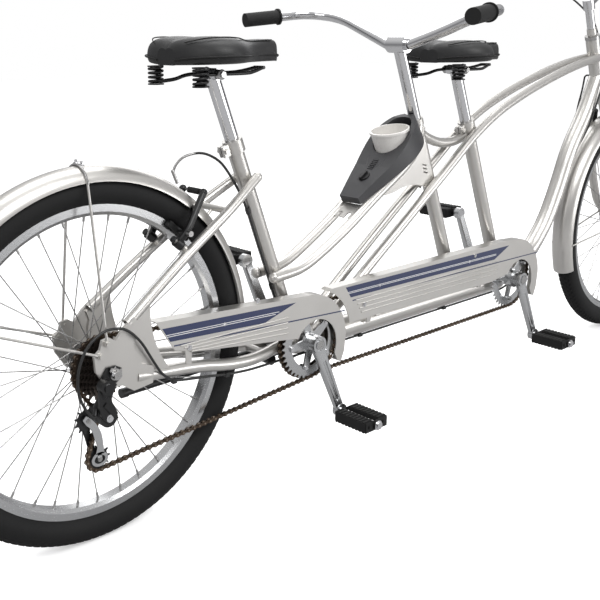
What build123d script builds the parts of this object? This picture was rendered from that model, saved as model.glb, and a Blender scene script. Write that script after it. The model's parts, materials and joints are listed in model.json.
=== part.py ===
from build123d import *
import os
from math import atan2, cos, degrees, hypot, radians, sin, sqrt, tan

# A two-seat cruiser bicycle. Millimetres, +X forward, +Y to the riders' left, +Z up.
# The origin is the middle of the rear axle. The chain side faces -Y.

os.makedirs("parts", exist_ok=True)

# ---- driving dimensions ------------------------------------------------------------------
WHEEL_R = 336.0            # outside radius of a 26 x 2.125 tyre
TYRE_W = 54.0
RIM_R = 285.5              # edge of the rim flanges
RIM_INNER_R = 266.0
RIM_W = 30.0
SPOKES = 36
SPOKE_D = 2.2

BB_DROP = 63.5             # crank spindles below the wheel axles
STOKER_BB_X = 495.0
BB_SPACING = 746.5
FRONT_AXLE_X = 1890.0
CRANK_LENGTH = 170.0
CRANK_ANGLE = -69.3        # right-hand arms at rest, from +X

HEAD_ANGLE = 69.0
FORK_RAKE = 45.0
HEAD_LOW = 412.0           # along the steering axis, from the height of the axle
HEAD_LENGTH = 160.0
HEAD_R = 18.5
STEERER_R = 12.7

SEAT_TUBE_R = 15.9
SEAT_TUBE_WALL = 2.15
POST_GAP = 0.05
STOKER_SEAT_ANGLE = 69.0
STOKER_SEAT_LENGTH = 462.0
CAPTAIN_SEAT_ANGLE = 67.6
CAPTAIN_SEAT_LENGTH = 448.0
BAR_TUBE_ANGLE = 68.4
BAR_TUBE_TOP = (877.0, 368.0)

BOOM_R = 25.4
BOOM_Z = -78.0
BB_SHELL_R = 22.0
BB_SHELL_BORE_R = 17.6
BB_SHELL_W = 73.0
DOWN_TUBE_R = 22.2
LATERAL_R = 11.1
CONSOLE_TUBE_R = 11.1
BRIDGE_R = 11.1
CHAINSTAY_R = 12.0
SEATSTAY_R = 9.5
TUBE_WALL = 2.0
DOME_LIP = 0.25            # domed ends stand proud of their tube by this
WELD = 0.5                 # how far a mitred tube end reaches into its neighbour

DROPOUT_IN = 65.0          # inner face of the rear dropouts
DROPOUT_T = 6.0
AXLE_R = 5.0

CHAIN_PITCH = 12.7
RING_TEETH = 38
COG_TEETH = (28, 24, 22, 20, 18, 16, 14)
COG_STEP = 5.0
LOW_COG_Y = -29.0
DRIVE_Y = -51.5            # outer stoker ring, which drives the rear wheel
TIMING_Y = -41.5           # inner stoker ring and the captain's ring
RING_T = 2.2
PULLEY_TEETH = 11
GUIDE_PULLEY = (-34.0, -90.0)
TENSION_PULLEY = (-15.0, -168.0)

FENDER_R = 352.0
FENDER_EDGE_R = 326.0
FENDER_HALF_W = 31.0
FENDER_T = 1.4

GUARD_OUT = 62.0           # outer face of the chain guards
GUARD_IN = 36.0            # inner edge of their top walls
GUARD_T = 2.0
GUARD_NOSE_R = 100.0
GUARD_GAP = 11.0           # between the rear guard's nose and the front guard's tail

PEDAL_LENGTH = 96.0
PEDAL_GAP = 1.0

# ---- places worked out from them ---------------------------------------------------------
BB_Z = -BB_DROP
CAPTAIN_BB_X = STOKER_BB_X + BB_SPACING
STOKER_BB = Vector(STOKER_BB_X, 0, BB_Z)
CAPTAIN_BB = Vector(CAPTAIN_BB_X, 0, BB_Z)
FRONT_AXLE = Vector(FRONT_AXLE_X, 0, 0)


def tilt(angle):
    """Unit vector up a tube that leans back at this angle from the ground."""
    return Vector(-cos(radians(angle)), 0, sin(radians(angle)))


HEAD_DIR = tilt(HEAD_ANGLE)
STEER_FOOT = Vector(FRONT_AXLE_X - FORK_RAKE / sin(radians(HEAD_ANGLE)), 0, 0)
HEAD_BOTTOM = STEER_FOOT + HEAD_DIR * HEAD_LOW
HEAD_TOP = HEAD_BOTTOM + HEAD_DIR * HEAD_LENGTH
STOKER_SEAT_DIR = tilt(STOKER_SEAT_ANGLE)
STOKER_SEAT_TOP = STOKER_BB + STOKER_SEAT_DIR * STOKER_SEAT_LENGTH
CAPTAIN_SEAT_DIR = tilt(CAPTAIN_SEAT_ANGLE)
CAPTAIN_SEAT_TOP = CAPTAIN_BB + CAPTAIN_SEAT_DIR * CAPTAIN_SEAT_LENGTH
BAR_DIR = tilt(BAR_TUBE_ANGLE)
BAR_TOP = Vector(BAR_TUBE_TOP[0], 0, BAR_TUBE_TOP[1])
BAR_FOOT = BAR_TOP + BAR_DIR * ((BOOM_Z - BAR_TOP.Z) / BAR_DIR.Z)
TUBE_BORE = SEAT_TUBE_R - SEAT_TUBE_WALL
POST_R = TUBE_BORE - POST_GAP


def on_axis(origin, direction, z):
    """Point of an axis at this height."""
    return origin + direction * ((z - origin.Z) / direction.Z)


def mirrored_y(points, side):
    return [Vector(x, side * y, z) for x, y, z in points]


def corner_radii(points):
    """The largest tangent arcs that each corner's two runs allow."""
    radii = []
    for before, here, after in zip(points, points[1:], points[2:]):
        one = Vector(here) - Vector(before)
        two = Vector(after) - Vector(here)
        turn = radians(one.get_angle(two))
        radii.append(0.45 * min(one.length, two.length) / tan(turn / 2))
    return radii


def swept(points, radius, wall=0.0, mode=Mode.ADD):
    """A round bar or tube along straight runs joined by tangent arcs."""
    with BuildLine() as route:
        if len(points) > 2:
            FilletPolyline(*points, radius=corner_radii(points))
        else:
            Line(*points)
    start = Plane(origin=route.line @ 0, z_dir=route.line % 0)
    with BuildSketch(start) as section:
        Circle(radius)
        if wall:
            Circle(radius - wall, mode=Mode.SUBTRACT)
    sweep(section.sketch, path=route.line, mode=mode)


def rod(a, b, radius, mode=Mode.ADD):
    """A straight round bar from a to b."""
    a, b = Vector(a), Vector(b)
    with Locations(Plane(origin=a, z_dir=b - a)):
        Cylinder(radius, (b - a).length, align=(Align.CENTER, Align.CENTER, Align.MIN), mode=mode)


def pipe(a, b, radius, bore):
    rod(a, b, radius)
    step = (Vector(b) - Vector(a)).normalized()
    rod(Vector(a) - step, Vector(b) + step, bore, mode=Mode.SUBTRACT)


def cone(a, b, r_start, r_end, mode=Mode.ADD):
    a, b = Vector(a), Vector(b)
    with Locations(Plane(origin=a, z_dir=b - a)):
        Cone(r_start, r_end, (b - a).length, align=(Align.CENTER, Align.CENTER, Align.MIN), mode=mode)


def hexagon(a, b, radius):
    a, b = Vector(a), Vector(b)
    with BuildSketch(Plane(origin=a, z_dir=b - a)) as head:
        RegularPolygon(radius, 6)
    extrude(head.sketch, amount=(b - a).length)


def disc(x, z, y_from, y_to, radius, mode=Mode.ADD):
    """A round bar along Y."""
    rod((x, y_from, z), (x, y_to, z), radius, mode)


def side_plane(y):
    """Sketch plane seen from the chain side; extrusion goes towards -Y."""
    return Plane.XZ.offset(-y)


def done(builder, label):
    builder.part.label = label
    export_step(builder.part, f"parts/{label}.step")
    return builder.part


# ---- frame tubes -------------------------------------------------------------------------
with BuildPart() as boom_tube:
    pipe((STOKER_BB_X, 0, BOOM_Z), (CAPTAIN_BB_X, 0, BOOM_Z), BOOM_R, BOOM_R - TUBE_WALL)
    for bb in (STOKER_BB, CAPTAIN_BB):
        rod(bb - (0, BB_SHELL_W / 2, 0), bb + (0, BB_SHELL_W / 2, 0), BB_SHELL_R)
    for bb in (STOKER_BB, CAPTAIN_BB):
        rod(bb - (0, BB_SHELL_W / 2 + 1, 0), bb + (0, BB_SHELL_W / 2 + 1, 0), BB_SHELL_BORE_R, mode=Mode.SUBTRACT)
done(boom_tube, "boom_tube")

DOWN_TUBE = [
    (CAPTAIN_BB_X, 0, BB_Z), (CAPTAIN_BB_X + 88, 0, -52), (CAPTAIN_BB_X + 158, 0, -19), (CAPTAIN_BB_X + 222, 0, 48),
    (CAPTAIN_BB_X + 272, 0, 138), (CAPTAIN_BB_X + 318, 0, 242), (CAPTAIN_BB_X + 386, 0, 330), tuple(HEAD_BOTTOM + HEAD_DIR * 45),
]

with BuildPart() as head_and_down_tube:
    swept(DOWN_TUBE, DOWN_TUBE_R, TUBE_WALL)
    rod(CAPTAIN_BB - (0, 60, 0), CAPTAIN_BB + (0, 60, 0), BB_SHELL_R - WELD, mode=Mode.SUBTRACT)
    rod(HEAD_BOTTOM, HEAD_TOP, HEAD_R)
    rod(HEAD_BOTTOM - HEAD_DIR, HEAD_TOP + HEAD_DIR, HEAD_R - 2.2, mode=Mode.SUBTRACT)
done(head_and_down_tube, "head_and_down_tube")


def seat_tube(bb, direction, top):
    """Tube from a crank shell to the post collar, with the collar, its slit and its bolt."""
    pipe(bb, top, SEAT_TUBE_R, TUBE_BORE)
    rod(bb - (0, 60, 0), bb + (0, 60, 0), BB_SHELL_R - WELD, mode=Mode.SUBTRACT)
    pipe(top - direction * 26, top + direction * 0.01, SEAT_TUBE_R + 4.0, TUBE_BORE)
    across = Vector(direction.Z, 0, -direction.X)
    ear = top - direction * 13 - across * (SEAT_TUBE_R + 8)
    with Locations(Plane(origin=ear, x_dir=across, z_dir=direction)):
        Box(17, 17, 22)
    rod(top - direction * 60, top + direction, TUBE_BORE, mode=Mode.SUBTRACT)
    with Locations(Plane(origin=ear, x_dir=across, z_dir=direction)):
        Box(26, 2.4, 26.5, mode=Mode.SUBTRACT)
    bolt = ear - across * 2.5
    rod(bolt - (0, 11.5, 0), bolt + (0, 11.5, 0), 3.0)
    rod(bolt - (0, 13.5, 0), bolt - (0, 8.4, 0), 5.0)
    hexagon(bolt + (0, 8.4, 0), bolt + (0, 13.5, 0), 5.6)


with BuildPart() as stoker_seat_tube:
    seat_tube(STOKER_BB, STOKER_SEAT_DIR, STOKER_SEAT_TOP)
done(stoker_seat_tube, "stoker_seat_tube")

with BuildPart() as captain_seat_tube:
    seat_tube(CAPTAIN_BB, CAPTAIN_SEAT_DIR, CAPTAIN_SEAT_TOP)
done(captain_seat_tube, "captain_seat_tube")

# The tube under the stoker's handlebar, and the sagging bridge from it to the captain's seat tube.
BRIDGE = [
    tuple(on_axis(BAR_TOP, BAR_DIR, 342)), (918, 0, 323), (965, 0, 306), (1020, 0, 303), (1058, 0, 311),
    tuple(on_axis(CAPTAIN_BB, CAPTAIN_SEAT_DIR, 322)),
]
with BuildPart() as stoker_bar_tube:
    swept(BRIDGE, BRIDGE_R, TUBE_WALL)
    rod(CAPTAIN_BB, CAPTAIN_SEAT_TOP, SEAT_TUBE_R - WELD, mode=Mode.SUBTRACT)
    rod(BAR_FOOT, BAR_TOP, SEAT_TUBE_R)
    rod(BAR_TOP - BAR_DIR * 14, BAR_TOP, SEAT_TUBE_R + 2.2)
    rod(BAR_FOOT - BAR_DIR, BAR_TOP + BAR_DIR, TUBE_BORE, mode=Mode.SUBTRACT)
    rod((STOKER_BB_X, 0, BOOM_Z), (CAPTAIN_BB_X, 0, BOOM_Z), BOOM_R - WELD, mode=Mode.SUBTRACT)
done(stoker_bar_tube, "stoker_bar_tube")

LATERAL_Y = SEAT_TUBE_R + LATERAL_R - WELD
LATERAL = [
    (541, 14, -64), (600, 22, -19), (760, LATERAL_Y - 1, 97), (939, LATERAL_Y, 223), (1080, LATERAL_Y, 324), (1175, LATERAL_Y, 372),
    (1300, LATERAL_Y, 414), (1450, 24, 452), (1560, 20.5, 473), (1656, 16, 484),
]
with BuildPart() as lateral_tubes:
    swept(LATERAL, LATERAL_R, TUBE_WALL)
    rod((STOKER_BB_X, 0, BOOM_Z), (CAPTAIN_BB_X, 0, BOOM_Z), BOOM_R - WELD, mode=Mode.SUBTRACT)
    rod(HEAD_BOTTOM, HEAD_TOP, HEAD_R - WELD, mode=Mode.SUBTRACT)
    mirror(about=Plane.XZ)
done(lateral_tubes, "lateral_tubes")

CONSOLE_Y = SEAT_TUBE_R + CONSOLE_TUBE_R - WELD
CONSOLE_LINE = [
    (416, CONSOLE_Y, 84), (492, CONSOLE_Y + 1, 89), (557, 30, 120), (632, 31.5, 162), (690, 31.5, 200), (748, 31, 234),
    (808, 28.5, 266), (846, 24, 292), (870, 18, 322), (882, 13, 350),
]
GUSSET_Y = 14.0
GUSSET_T = 3.0
with BuildPart() as console_tubes:
    swept(CONSOLE_LINE, CONSOLE_TUBE_R, TUBE_WALL)
    with Locations(CONSOLE_LINE[0]):
        Sphere(CONSOLE_TUBE_R + DOME_LIP)
    # side plate between the tube and the bar tube
    with BuildSketch(side_plane(GUSSET_Y + GUSSET_T / 2)):
        with BuildLine():
            Polyline((722, 214), (800, 258), (852, 304), (876, 340), (890, 330), (934, 222), (926, 200))
            ThreePointArc((926, 200), (868, 219), (800, 212))
            ThreePointArc((800, 212), (760, 208), (722, 214))
        make_face()
        for k in range(3):
            with Locations(Location((899 + 2.6 * k, 262 - 9 * k), -14)):
                SlotOverall(16, 3.4, mode=Mode.SUBTRACT)
    extrude(amount=GUSSET_T)
    rod(STOKER_BB, STOKER_SEAT_TOP, SEAT_TUBE_R - WELD, mode=Mode.SUBTRACT)
    rod(BAR_FOOT, BAR_TOP, SEAT_TUBE_R - WELD, mode=Mode.SUBTRACT)
    mirror(about=Plane.XZ)
    # cross bracket under the console's tail, with a U notch each side
    slope = Plane(origin=(659, 0, 184), x_dir=(cos(radians(33)), 0, sin(radians(33))), z_dir=(-sin(radians(33)), 0, cos(radians(33))))
    with BuildSketch(slope):
        Rectangle(44, 2 * CONSOLE_Y + 2)
        with Locations((-22, 12), (-22, -12)):
            SlotOverall(34, 11, mode=Mode.SUBTRACT)
    extrude(amount=3)
done(console_tubes, "console_tubes")

CHAINSTAY = [
    (48, 62, -20), (104, 57, -29), (161, 53, -36), (213, 50, -45), (266, 48, -58), (330, 45, -66),
    (382, 34, -68), (414, 23.5, -68), (482, 21, -65),
]
with BuildPart() as chainstays:
    for side in (-1, 1):
        swept(mirrored_y(CHAINSTAY, side), CHAINSTAY_R, TUBE_WALL)
    rod(STOKER_BB - (0, 60, 0), STOKER_BB + (0, 60, 0), BB_SHELL_R - WELD, mode=Mode.SUBTRACT)
    rod((388, -30, -69), (388, 30, -69), 8)
    # stand plate between the stays
    with BuildSketch(Plane.XY.offset(-78)):
        with BuildLine():
            Polyline((384, 30), (384, -30), (420, -22), (462, -16), (462, 16), (420, 22), (384, 30))
        make_face()
        with Locations((425, 0)):
            Circle(5.2, mode=Mode.SUBTRACT)
    extrude(amount=5)
done(chainstays, "chainstays")

SEATSTAY_TOP_Y = SEAT_TUBE_R + SEATSTAY_R - WELD
SEATSTAY = [(36, 62, 79), (110, 56.5, 131), (185, 51, 181), (290, 43.5, 245), (372, SEATSTAY_TOP_Y, 293)]
BRIDGE_AT = Vector(281, 0, 242)
BRAKE_ANGLE = 50.0         # direction of the brake arms, radial to the wheel
BRAKE_R = 254.0            # brake pivots from the wheel axle
BOSS_Y = 43.0
BRAKE_DIR = Vector(cos(radians(BRAKE_ANGLE)), 0, sin(radians(BRAKE_ANGLE)))
BOSS_DIR = Vector(-sin(radians(BRAKE_ANGLE)), 0, cos(radians(BRAKE_ANGLE)))
BOSS_BASE = Vector(186, 0, 180)
BOSS_R = 5.0
with BuildPart() as seatstays:
    for side in (-1, 1):
        line = mirrored_y(SEATSTAY, side)
        swept(line, SEATSTAY_R, TUBE_WALL)
        with Locations(line[-1]):
            Sphere(SEATSTAY_R + DOME_LIP)
        boss = BOSS_BASE + (0, side * BOSS_Y, 0)
        rod(boss, boss + BOSS_DIR * 16, 7.5)
        rod(boss, boss + BOSS_DIR * 40, BOSS_R)
    rod(BRIDGE_AT - (0, 44, 0), BRIDGE_AT + (0, 44, 0), 6.5)
    rod(STOKER_BB, STOKER_SEAT_TOP, SEAT_TUBE_R - WELD, mode=Mode.SUBTRACT)
    rod(BRIDGE_AT, BRIDGE_AT - (BRIDGE_AT - (0, 0, 0)).normalized() * 17, 3)
done(seatstays, "seatstays")

EYELETS = ((-13.0, 57.0), (-27.0, 38.0))
EYELET_R = 2.6
with BuildPart() as dropouts:
    for side in (-1, 1):
        outer = DROPOUT_IN + DROPOUT_T if side > 0 else -DROPOUT_IN
        with BuildSketch(side_plane(outer)):
            with BuildLine():
                Polyline((-36, 10), (-38, 38), (-26, 48), (-21, 64), (-6, 66), (6, 58), (24, 78), (44, 92), (58, 76), (46, 50))
                ThreePointArc((46, 50), (44, 22), (62, 2))
                Polyline((62, 2), (84, -8), (80, -38), (40, -42), (16, -26), (-14, -24), (-36, 10))
            make_face()
            with Locations(*EYELETS):
                Circle(EYELET_R, mode=Mode.SUBTRACT)
            Circle(AXLE_R + 0.1, mode=Mode.SUBTRACT)
        extrude(amount=DROPOUT_T)
        inner = 65.2 if side > 0 else -61.2
        with BuildSketch(side_plane(inner)):
            with BuildLine():
                Polyline((36, 56), (30, 74), (84, 112))
                ThreePointArc((84, 112), (88, 50), (122, -22))
                Polyline((122, -22), (50, -12))
                ThreePointArc((50, -12), (34, 16), (36, 56))
            make_face()
        extrude(amount=4.0)
done(dropouts, "dropouts")

# ---- wheels ------------------------------------------------------------------------------
BEAD_Y = RIM_W / 2 - 1.9
TYRE_MID_R = WHEEL_R - TYRE_W / 2
CASING = 3.0
TREAD_GROOVE = 1.6


def wheel_plane():
    """Radial section of a wheel: x is the radius, y is the width."""
    return Plane(origin=(0, 0, 0), x_dir=(0, 0, 1), z_dir=(-1, 0, 0))


with BuildPart() as rear_tyre:
    with BuildSketch(wheel_plane()):
        with Locations((TYRE_MID_R, 0)):
            Circle(TYRE_W / 2)
        with Locations(((RIM_R + TYRE_MID_R) / 2 - 6, 0)):
            Rectangle(TYRE_MID_R - RIM_R + 18, 2 * BEAD_Y - 0.4)
        with Locations((TYRE_MID_R, 0)):
            Circle(TYRE_W / 2 - CASING, mode=Mode.SUBTRACT)
        with Locations(((RIM_R + TYRE_MID_R) / 2 - 8, 0)):
            Rectangle(TYRE_MID_R - RIM_R + 24, 2 * BEAD_Y - 5.4, mode=Mode.SUBTRACT)
        with Locations((RIM_R - 20, 0)):
            Rectangle(27.4, TYRE_W + 10, mode=Mode.SUBTRACT)
        for groove in (-13, -5, 5, 13):
            with Locations((TYRE_MID_R + sqrt((TYRE_W / 2) ** 2 - groove ** 2), groove)):
                Circle(TREAD_GROOVE, mode=Mode.SUBTRACT)
    revolve(axis=Axis.Y)
done(rear_tyre, "rear_tyre")

with BuildPart() as rear_rim:
    with BuildSketch(wheel_plane()):
        half = RIM_W / 2
        Polygon(
            (RIM_R, half), (RIM_R - 13, half), (RIM_INNER_R, half - 5), (RIM_INNER_R, 5 - half), (RIM_R - 13, -half),
            (RIM_R, -half), (RIM_R, 1.8 - half), (RIM_R - 7.5, 1.8 - half), (RIM_R - 10, 5.5 - half),
            (RIM_R - 10, half - 5.5), (RIM_R - 7.5, half - 1.8), (RIM_R, half - 1.8), align=None,
        )
        Polygon(
            (RIM_INNER_R + 1.6, 6 - half), (RIM_R - 12.4, 1.8 - half), (RIM_R - 11.6, 5 - half),
            (RIM_R - 11.6, half - 5), (RIM_R - 12.4, half - 1.8), (RIM_INNER_R + 1.6, half - 6),
            align=None, mode=Mode.SUBTRACT,
        )
    revolve(axis=Axis.Y)
done(rear_rim, "rear_rim")

FLANGE_R = 30.0
FLANGE_HOLE_R = 25.5
FLANGE_T = 3.2
HUB_R = 14.0
HUB_CORE_R = 9.0
CROSSED = 3                # each spoke crosses this many others


def hub_shell(left, right, end_left, end_right):
    """Hub with its two spoke flanges; left and right are the flanges' middles."""
    disc(0, 0, end_right, end_left, HUB_R)
    for flange in (left, right):
        disc(0, 0, flange - FLANGE_T / 2, flange + FLANGE_T / 2, FLANGE_R)
    disc(0, 0, end_right - 1, end_left + 1, HUB_CORE_R, mode=Mode.SUBTRACT)


def lace(left, right):
    """Crossed spokes with their nipples, from the flanges to the middle of the rim."""
    per_side = SPOKES // 2
    step = 360 / per_side
    for flange, phase in ((left, step / 2), (right, 0.0)):
        for k in range(per_side):
            at_hub = radians(phase + k * step)
            lead = CROSSED * step if k % 2 == 0 else -CROSSED * step
            at_rim = radians(phase + k * step + lead)
            skew = FLANGE_T / 2 + SPOKE_D / 2 + 0.1
            y_hub = flange + (skew if k % 2 else -skew)
            hub_end = Vector(FLANGE_HOLE_R * cos(at_hub), y_hub, FLANGE_HOLE_R * sin(at_hub))
            y_rim = 2.5 if flange > 0 else -2.5
            rim_end = Vector((RIM_INNER_R + 0.4) * cos(at_rim), y_rim, (RIM_INNER_R + 0.4) * sin(at_rim))
            along = (rim_end - hub_end).normalized()
            rod(hub_end, rim_end - along * 11, SPOKE_D / 2)
            rod(rim_end - along * 11.5, rim_end, 2.2)
            inward = Vector(0, -1 if k % 2 else 1, 0)
            rod(hub_end, hub_end + inward * (FLANGE_T + SPOKE_D / 2 + 0.6), SPOKE_D / 2)


REAR_FLANGES = (33.0, -17.0)
with BuildPart() as rear_hub:
    hub_shell(*REAR_FLANGES, 48.0, -23.0)
    lace(*REAR_FLANGES)
done(rear_hub, "rear_hub_and_spokes")

FRONT_FLANGES = (31.0, -31.0)
with BuildPart() as front_hub_at_origin:
    hub_shell(*FRONT_FLANGES, 40.0, -40.0)
    lace(*FRONT_FLANGES)

TO_FRONT = Location((FRONT_AXLE_X, 0, 0))
for name, piece in (("front_tyre", rear_tyre), ("front_rim", rear_rim), ("front_hub_and_spokes", front_hub_at_origin)):
    with BuildPart() as copy:
        add(piece.part.moved(TO_FRONT))
    done(copy, name)

# ---- rear axle, freewheel ----------------------------------------------------------------
AXLE_END = 83.0
CLAW_Y = DROPOUT_IN + DROPOUT_T
CLAW_T = 3.0
HANGER = Vector(-25.0, 0, -14.0)        # the derailleur's pivot bolt


with BuildPart() as rear_axle:
    disc(0, 0, -AXLE_END, AXLE_END, AXLE_R)
    for side in (-1, 1):
        nut_in = CLAW_Y + (CLAW_T + 0.2 if side < 0 else 0.0)
        hexagon((0, side * (nut_in + 1.6), 0), (0, side * (nut_in + 9.6), 0), 8.6)
        disc(0, 0, side * nut_in, side * (nut_in + 1.6), 10.5)
        cone((0, side * 50, 0), (0, side * 58, 0), 8.5, 7.5)
        disc(0, 0, side * 58, side * DROPOUT_IN, 7.6)
    # claw plate that carries the derailleur, with its lock screw
    with BuildSketch(side_plane(-CLAW_Y)):
        with BuildLine():
            Polyline((2, 15), (14, 8), (14, -8), (4, -15), (-22, -26), (-34, -22), (-37, -12), (-30, -3), (-16, 15), (2, 15))
        make_face()
    extrude(amount=CLAW_T)
    disc(-8, 10, -CLAW_Y - CLAW_T, -CLAW_Y - CLAW_T - 4, 4.2)
    disc(HANGER.X, HANGER.Z, -CLAW_Y - CLAW_T - 0.5, -CLAW_Y - CLAW_T - 3.0, 5.0)
done(rear_axle, "rear_axle")


def pitch_radius(teeth):
    return CHAIN_PITCH / (2 * sin(radians(180 / teeth)))


def toothed_disc(x, z, y, teeth, thickness, bore, turn=0.0):
    """A chain wheel centred at y; its teeth stand between the chain's rollers."""
    root = pitch_radius(teeth) - 3.9
    with BuildSketch(side_plane(y + thickness / 2)) as wheel:
        with Locations((x, z)):
            Circle(root)
            with PolarLocations(root, teeth, start_angle=turn):
                Polygon((-1.0, -4.0), (2.6, -3.0), (7.0, -1.0), (7.0, 1.0), (2.6, 3.0), (-1.0, 4.0), align=None)
            if bore:
                Circle(bore, mode=Mode.SUBTRACT)
    extrude(wheel.sketch, amount=thickness)


FREEWHEEL_CORE_R = 22.0
with BuildPart() as freewheel:
    for k, teeth in enumerate(COG_TEETH):
        toothed_disc(0, 0, LOW_COG_Y - k * COG_STEP, teeth, 2.0, 0)
        if k:
            y = LOW_COG_Y - (k - 0.5) * COG_STEP
            disc(0, 0, y - COG_STEP / 2, y + COG_STEP / 2, min(FREEWHEEL_CORE_R, pitch_radius(teeth) - 6.5))
    disc(0, 0, LOW_COG_Y - len(COG_TEETH) * COG_STEP - 10, -23.2, HUB_R + 0.3, mode=Mode.SUBTRACT)
    disc(0, 0, -24.6, LOW_COG_Y + 1, HUB_R + 6)
    disc(0, 0, LOW_COG_Y - len(COG_TEETH) * COG_STEP - 10, -20, HUB_CORE_R + 1.0, mode=Mode.SUBTRACT)
done(freewheel, "freewheel")

# ---- derailleur --------------------------------------------------------------------------
CAGE_PIVOT = Vector(-21.0, 0, -72.0)
PULLEY_Y = LOW_COG_Y
CAGE_GAP = 5.2             # from the pulleys' middle plane to a cage plate's inner face
CAGE_T = 1.8
KNUCKLE_IN = -54.0
with BuildPart() as derailleur:
    disc(HANGER.X, HANGER.Z, -CLAW_Y - CLAW_T - 0.4, -91, 13.5)
    rod((-27, -86, -16), (-36, -68, -54), 7)
    rod((-17, -85, -18), (-20, -70, -58), 6)
    rod((-36, -68, -52), (-46, -77, -64), 4.5)
    disc(CAGE_PIVOT.X, CAGE_PIVOT.Z, KNUCKLE_IN, -82, 17)
    disc(CAGE_PIVOT.X, CAGE_PIVOT.Z, -82, -84, 8)
    disc(HANGER.X, HANGER.Z, -60, -92, 5.5, mode=Mode.SUBTRACT)
    disc(HANGER.X, HANGER.Z, -84, -93, 7.5)
done(derailleur, "derailleur")

with BuildPart() as derailleur_cage:
    cage_face = [(CAGE_PIVOT.X - 8, CAGE_PIVOT.Z + 8), (CAGE_PIVOT.X + 11, CAGE_PIVOT.Z + 4), (-8, -120), (0, -166), (-8, -181), (-24, -180)]
    cage_face += [(-29, -168), (-27, -130), (-42, -104), (-45, -88)]
    for y in (PULLEY_Y + CAGE_GAP + CAGE_T, PULLEY_Y - CAGE_GAP):
        with BuildSketch(side_plane(y)):
            with BuildLine():
                Polyline(*cage_face, close=True)
            make_face()
            with Locations((-20, -125)):
                SlotOverall(34, 9, rotation=97, mode=Mode.SUBTRACT)
        extrude(amount=CAGE_T)
    for x, z in (GUIDE_PULLEY, TENSION_PULLEY):
        disc(x, z, PULLEY_Y + CAGE_GAP + CAGE_T + 1.5, PULLEY_Y - CAGE_GAP - CAGE_T - 2.5, 4.0)
        toothed_disc(x, z, PULLEY_Y, PULLEY_TEETH, 2.2, 0)
        disc(x, z, PULLEY_Y - 4.2, PULLEY_Y + 4.2, 8.0)
    disc(CAGE_PIVOT.X, CAGE_PIVOT.Z, PULLEY_Y - CAGE_GAP - 0.5, KNUCKLE_IN + 0.4, 12)
done(derailleur_cage, "derailleur_cage")

# ---- cranks and rings --------------------------------------------------------------------
SPINDLE_R = 8.5
ARM_IN = 62.0              # inner face of an arm at the spindle
ARM_T = 14.0
ARM_OUT_SHIFT = 14.0       # how much further out the pedal end stands
PEDAL_FACE = ARM_IN + ARM_T + ARM_OUT_SHIFT
RING_WINDOW_R = 54.0
SPIDER_R = 60.0


def pedal_eye(bb, side):
    angle = radians(CRANK_ANGLE + (0 if side < 0 else 180))
    return Vector(bb.X + CRANK_LENGTH * cos(angle), 0, bb.Z + CRANK_LENGTH * sin(angle))


def arm(bb, side):
    """One crank arm with its channel, boss, pedal eye and bolt cap."""
    eye = pedal_eye(bb, side)
    out = (eye - bb).normalized()
    root = bb + (0, side * (ARM_IN + ARM_T / 2 + 1), 0) + out * 8
    tip = eye + (0, side * (PEDAL_FACE - ARM_T / 2), 0)
    along = (tip - root).normalized()
    big = Plane(origin=root, x_dir=(0, 1, 0), z_dir=along)
    small = Plane(origin=tip, x_dir=(0, 1, 0), z_dir=along)
    with BuildSketch(big) as first:
        RectangleRounded(ARM_T, 29, 4)
    with BuildSketch(small) as last:
        RectangleRounded(ARM_T - 1, 21, 4)
    loft(sections=[first.sketch, last.sketch])
    disc(bb.X, bb.Z, side * (ARM_IN - 4), side * (ARM_IN + ARM_T + 5), 18)
    disc(eye.X, eye.Z, side * (PEDAL_FACE - ARM_T), side * PEDAL_FACE, 14.5)
    face = side * (ARM_T / 2)
    rod(root + along * 34 + (0, face, 0), tip - along * 26 + (0, face, 0), 4.2, mode=Mode.SUBTRACT)
    disc(bb.X, bb.Z, side * (ARM_IN + ARM_T + 3.6), side * (ARM_IN + ARM_T + 7), 12.5, mode=Mode.SUBTRACT)
    disc(bb.X, bb.Z, side * (ARM_IN + ARM_T + 3), side * (ARM_IN + ARM_T + 6), 10.5)
    disc(eye.X, eye.Z, side * (PEDAL_FACE - ARM_T - 1), side * (PEDAL_FACE + 1), 7.3, mode=Mode.SUBTRACT)


def crankset(bb):
    disc(bb.X, bb.Z, -ARM_IN, ARM_IN, SPINDLE_R)
    for side in (-1, 1):
        arm(bb, side)


with BuildPart() as stoker_crankset:
    crankset(STOKER_BB)
done(stoker_crankset, "stoker_crankset")

with BuildPart() as captain_crankset:
    crankset(CAPTAIN_BB)
done(captain_crankset, "captain_crankset")


def ring(bb, y):
    toothed_disc(bb.X, bb.Z, y, RING_TEETH, RING_T, RING_WINDOW_R)


def spider(bb, y_ring, spread):
    """Five arms from the boss of the right-hand arm, with the ring bolts."""
    disc(bb.X, bb.Z, y_ring, 4 - ARM_IN - 0.1, 24)
    disc(bb.X, bb.Z, y_ring + 1, 3 - ARM_IN, SPINDLE_R + 0.02, mode=Mode.SUBTRACT)
    with BuildSketch(side_plane(y_ring + spread)) as star:
        with Locations((bb.X, bb.Z)):
            with PolarLocations(0, 5, start_angle=CRANK_ANGLE + 36):
                Polygon((15, -10), (SPIDER_R - 4, -8), (SPIDER_R, -4), (SPIDER_R, 4), (SPIDER_R - 4, 8), (15, 10), align=None)
    extrude(star.sketch, amount=3.2)
    for k in range(5):
        at = radians(CRANK_ANGLE + 36 + 72 * k)
        x = bb.X + (SPIDER_R - 5) * cos(at)
        z = bb.Z + (SPIDER_R - 5) * sin(at)
        disc(x, z, TIMING_Y + RING_T, DRIVE_Y - RING_T - 2.4, 4.6)


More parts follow.
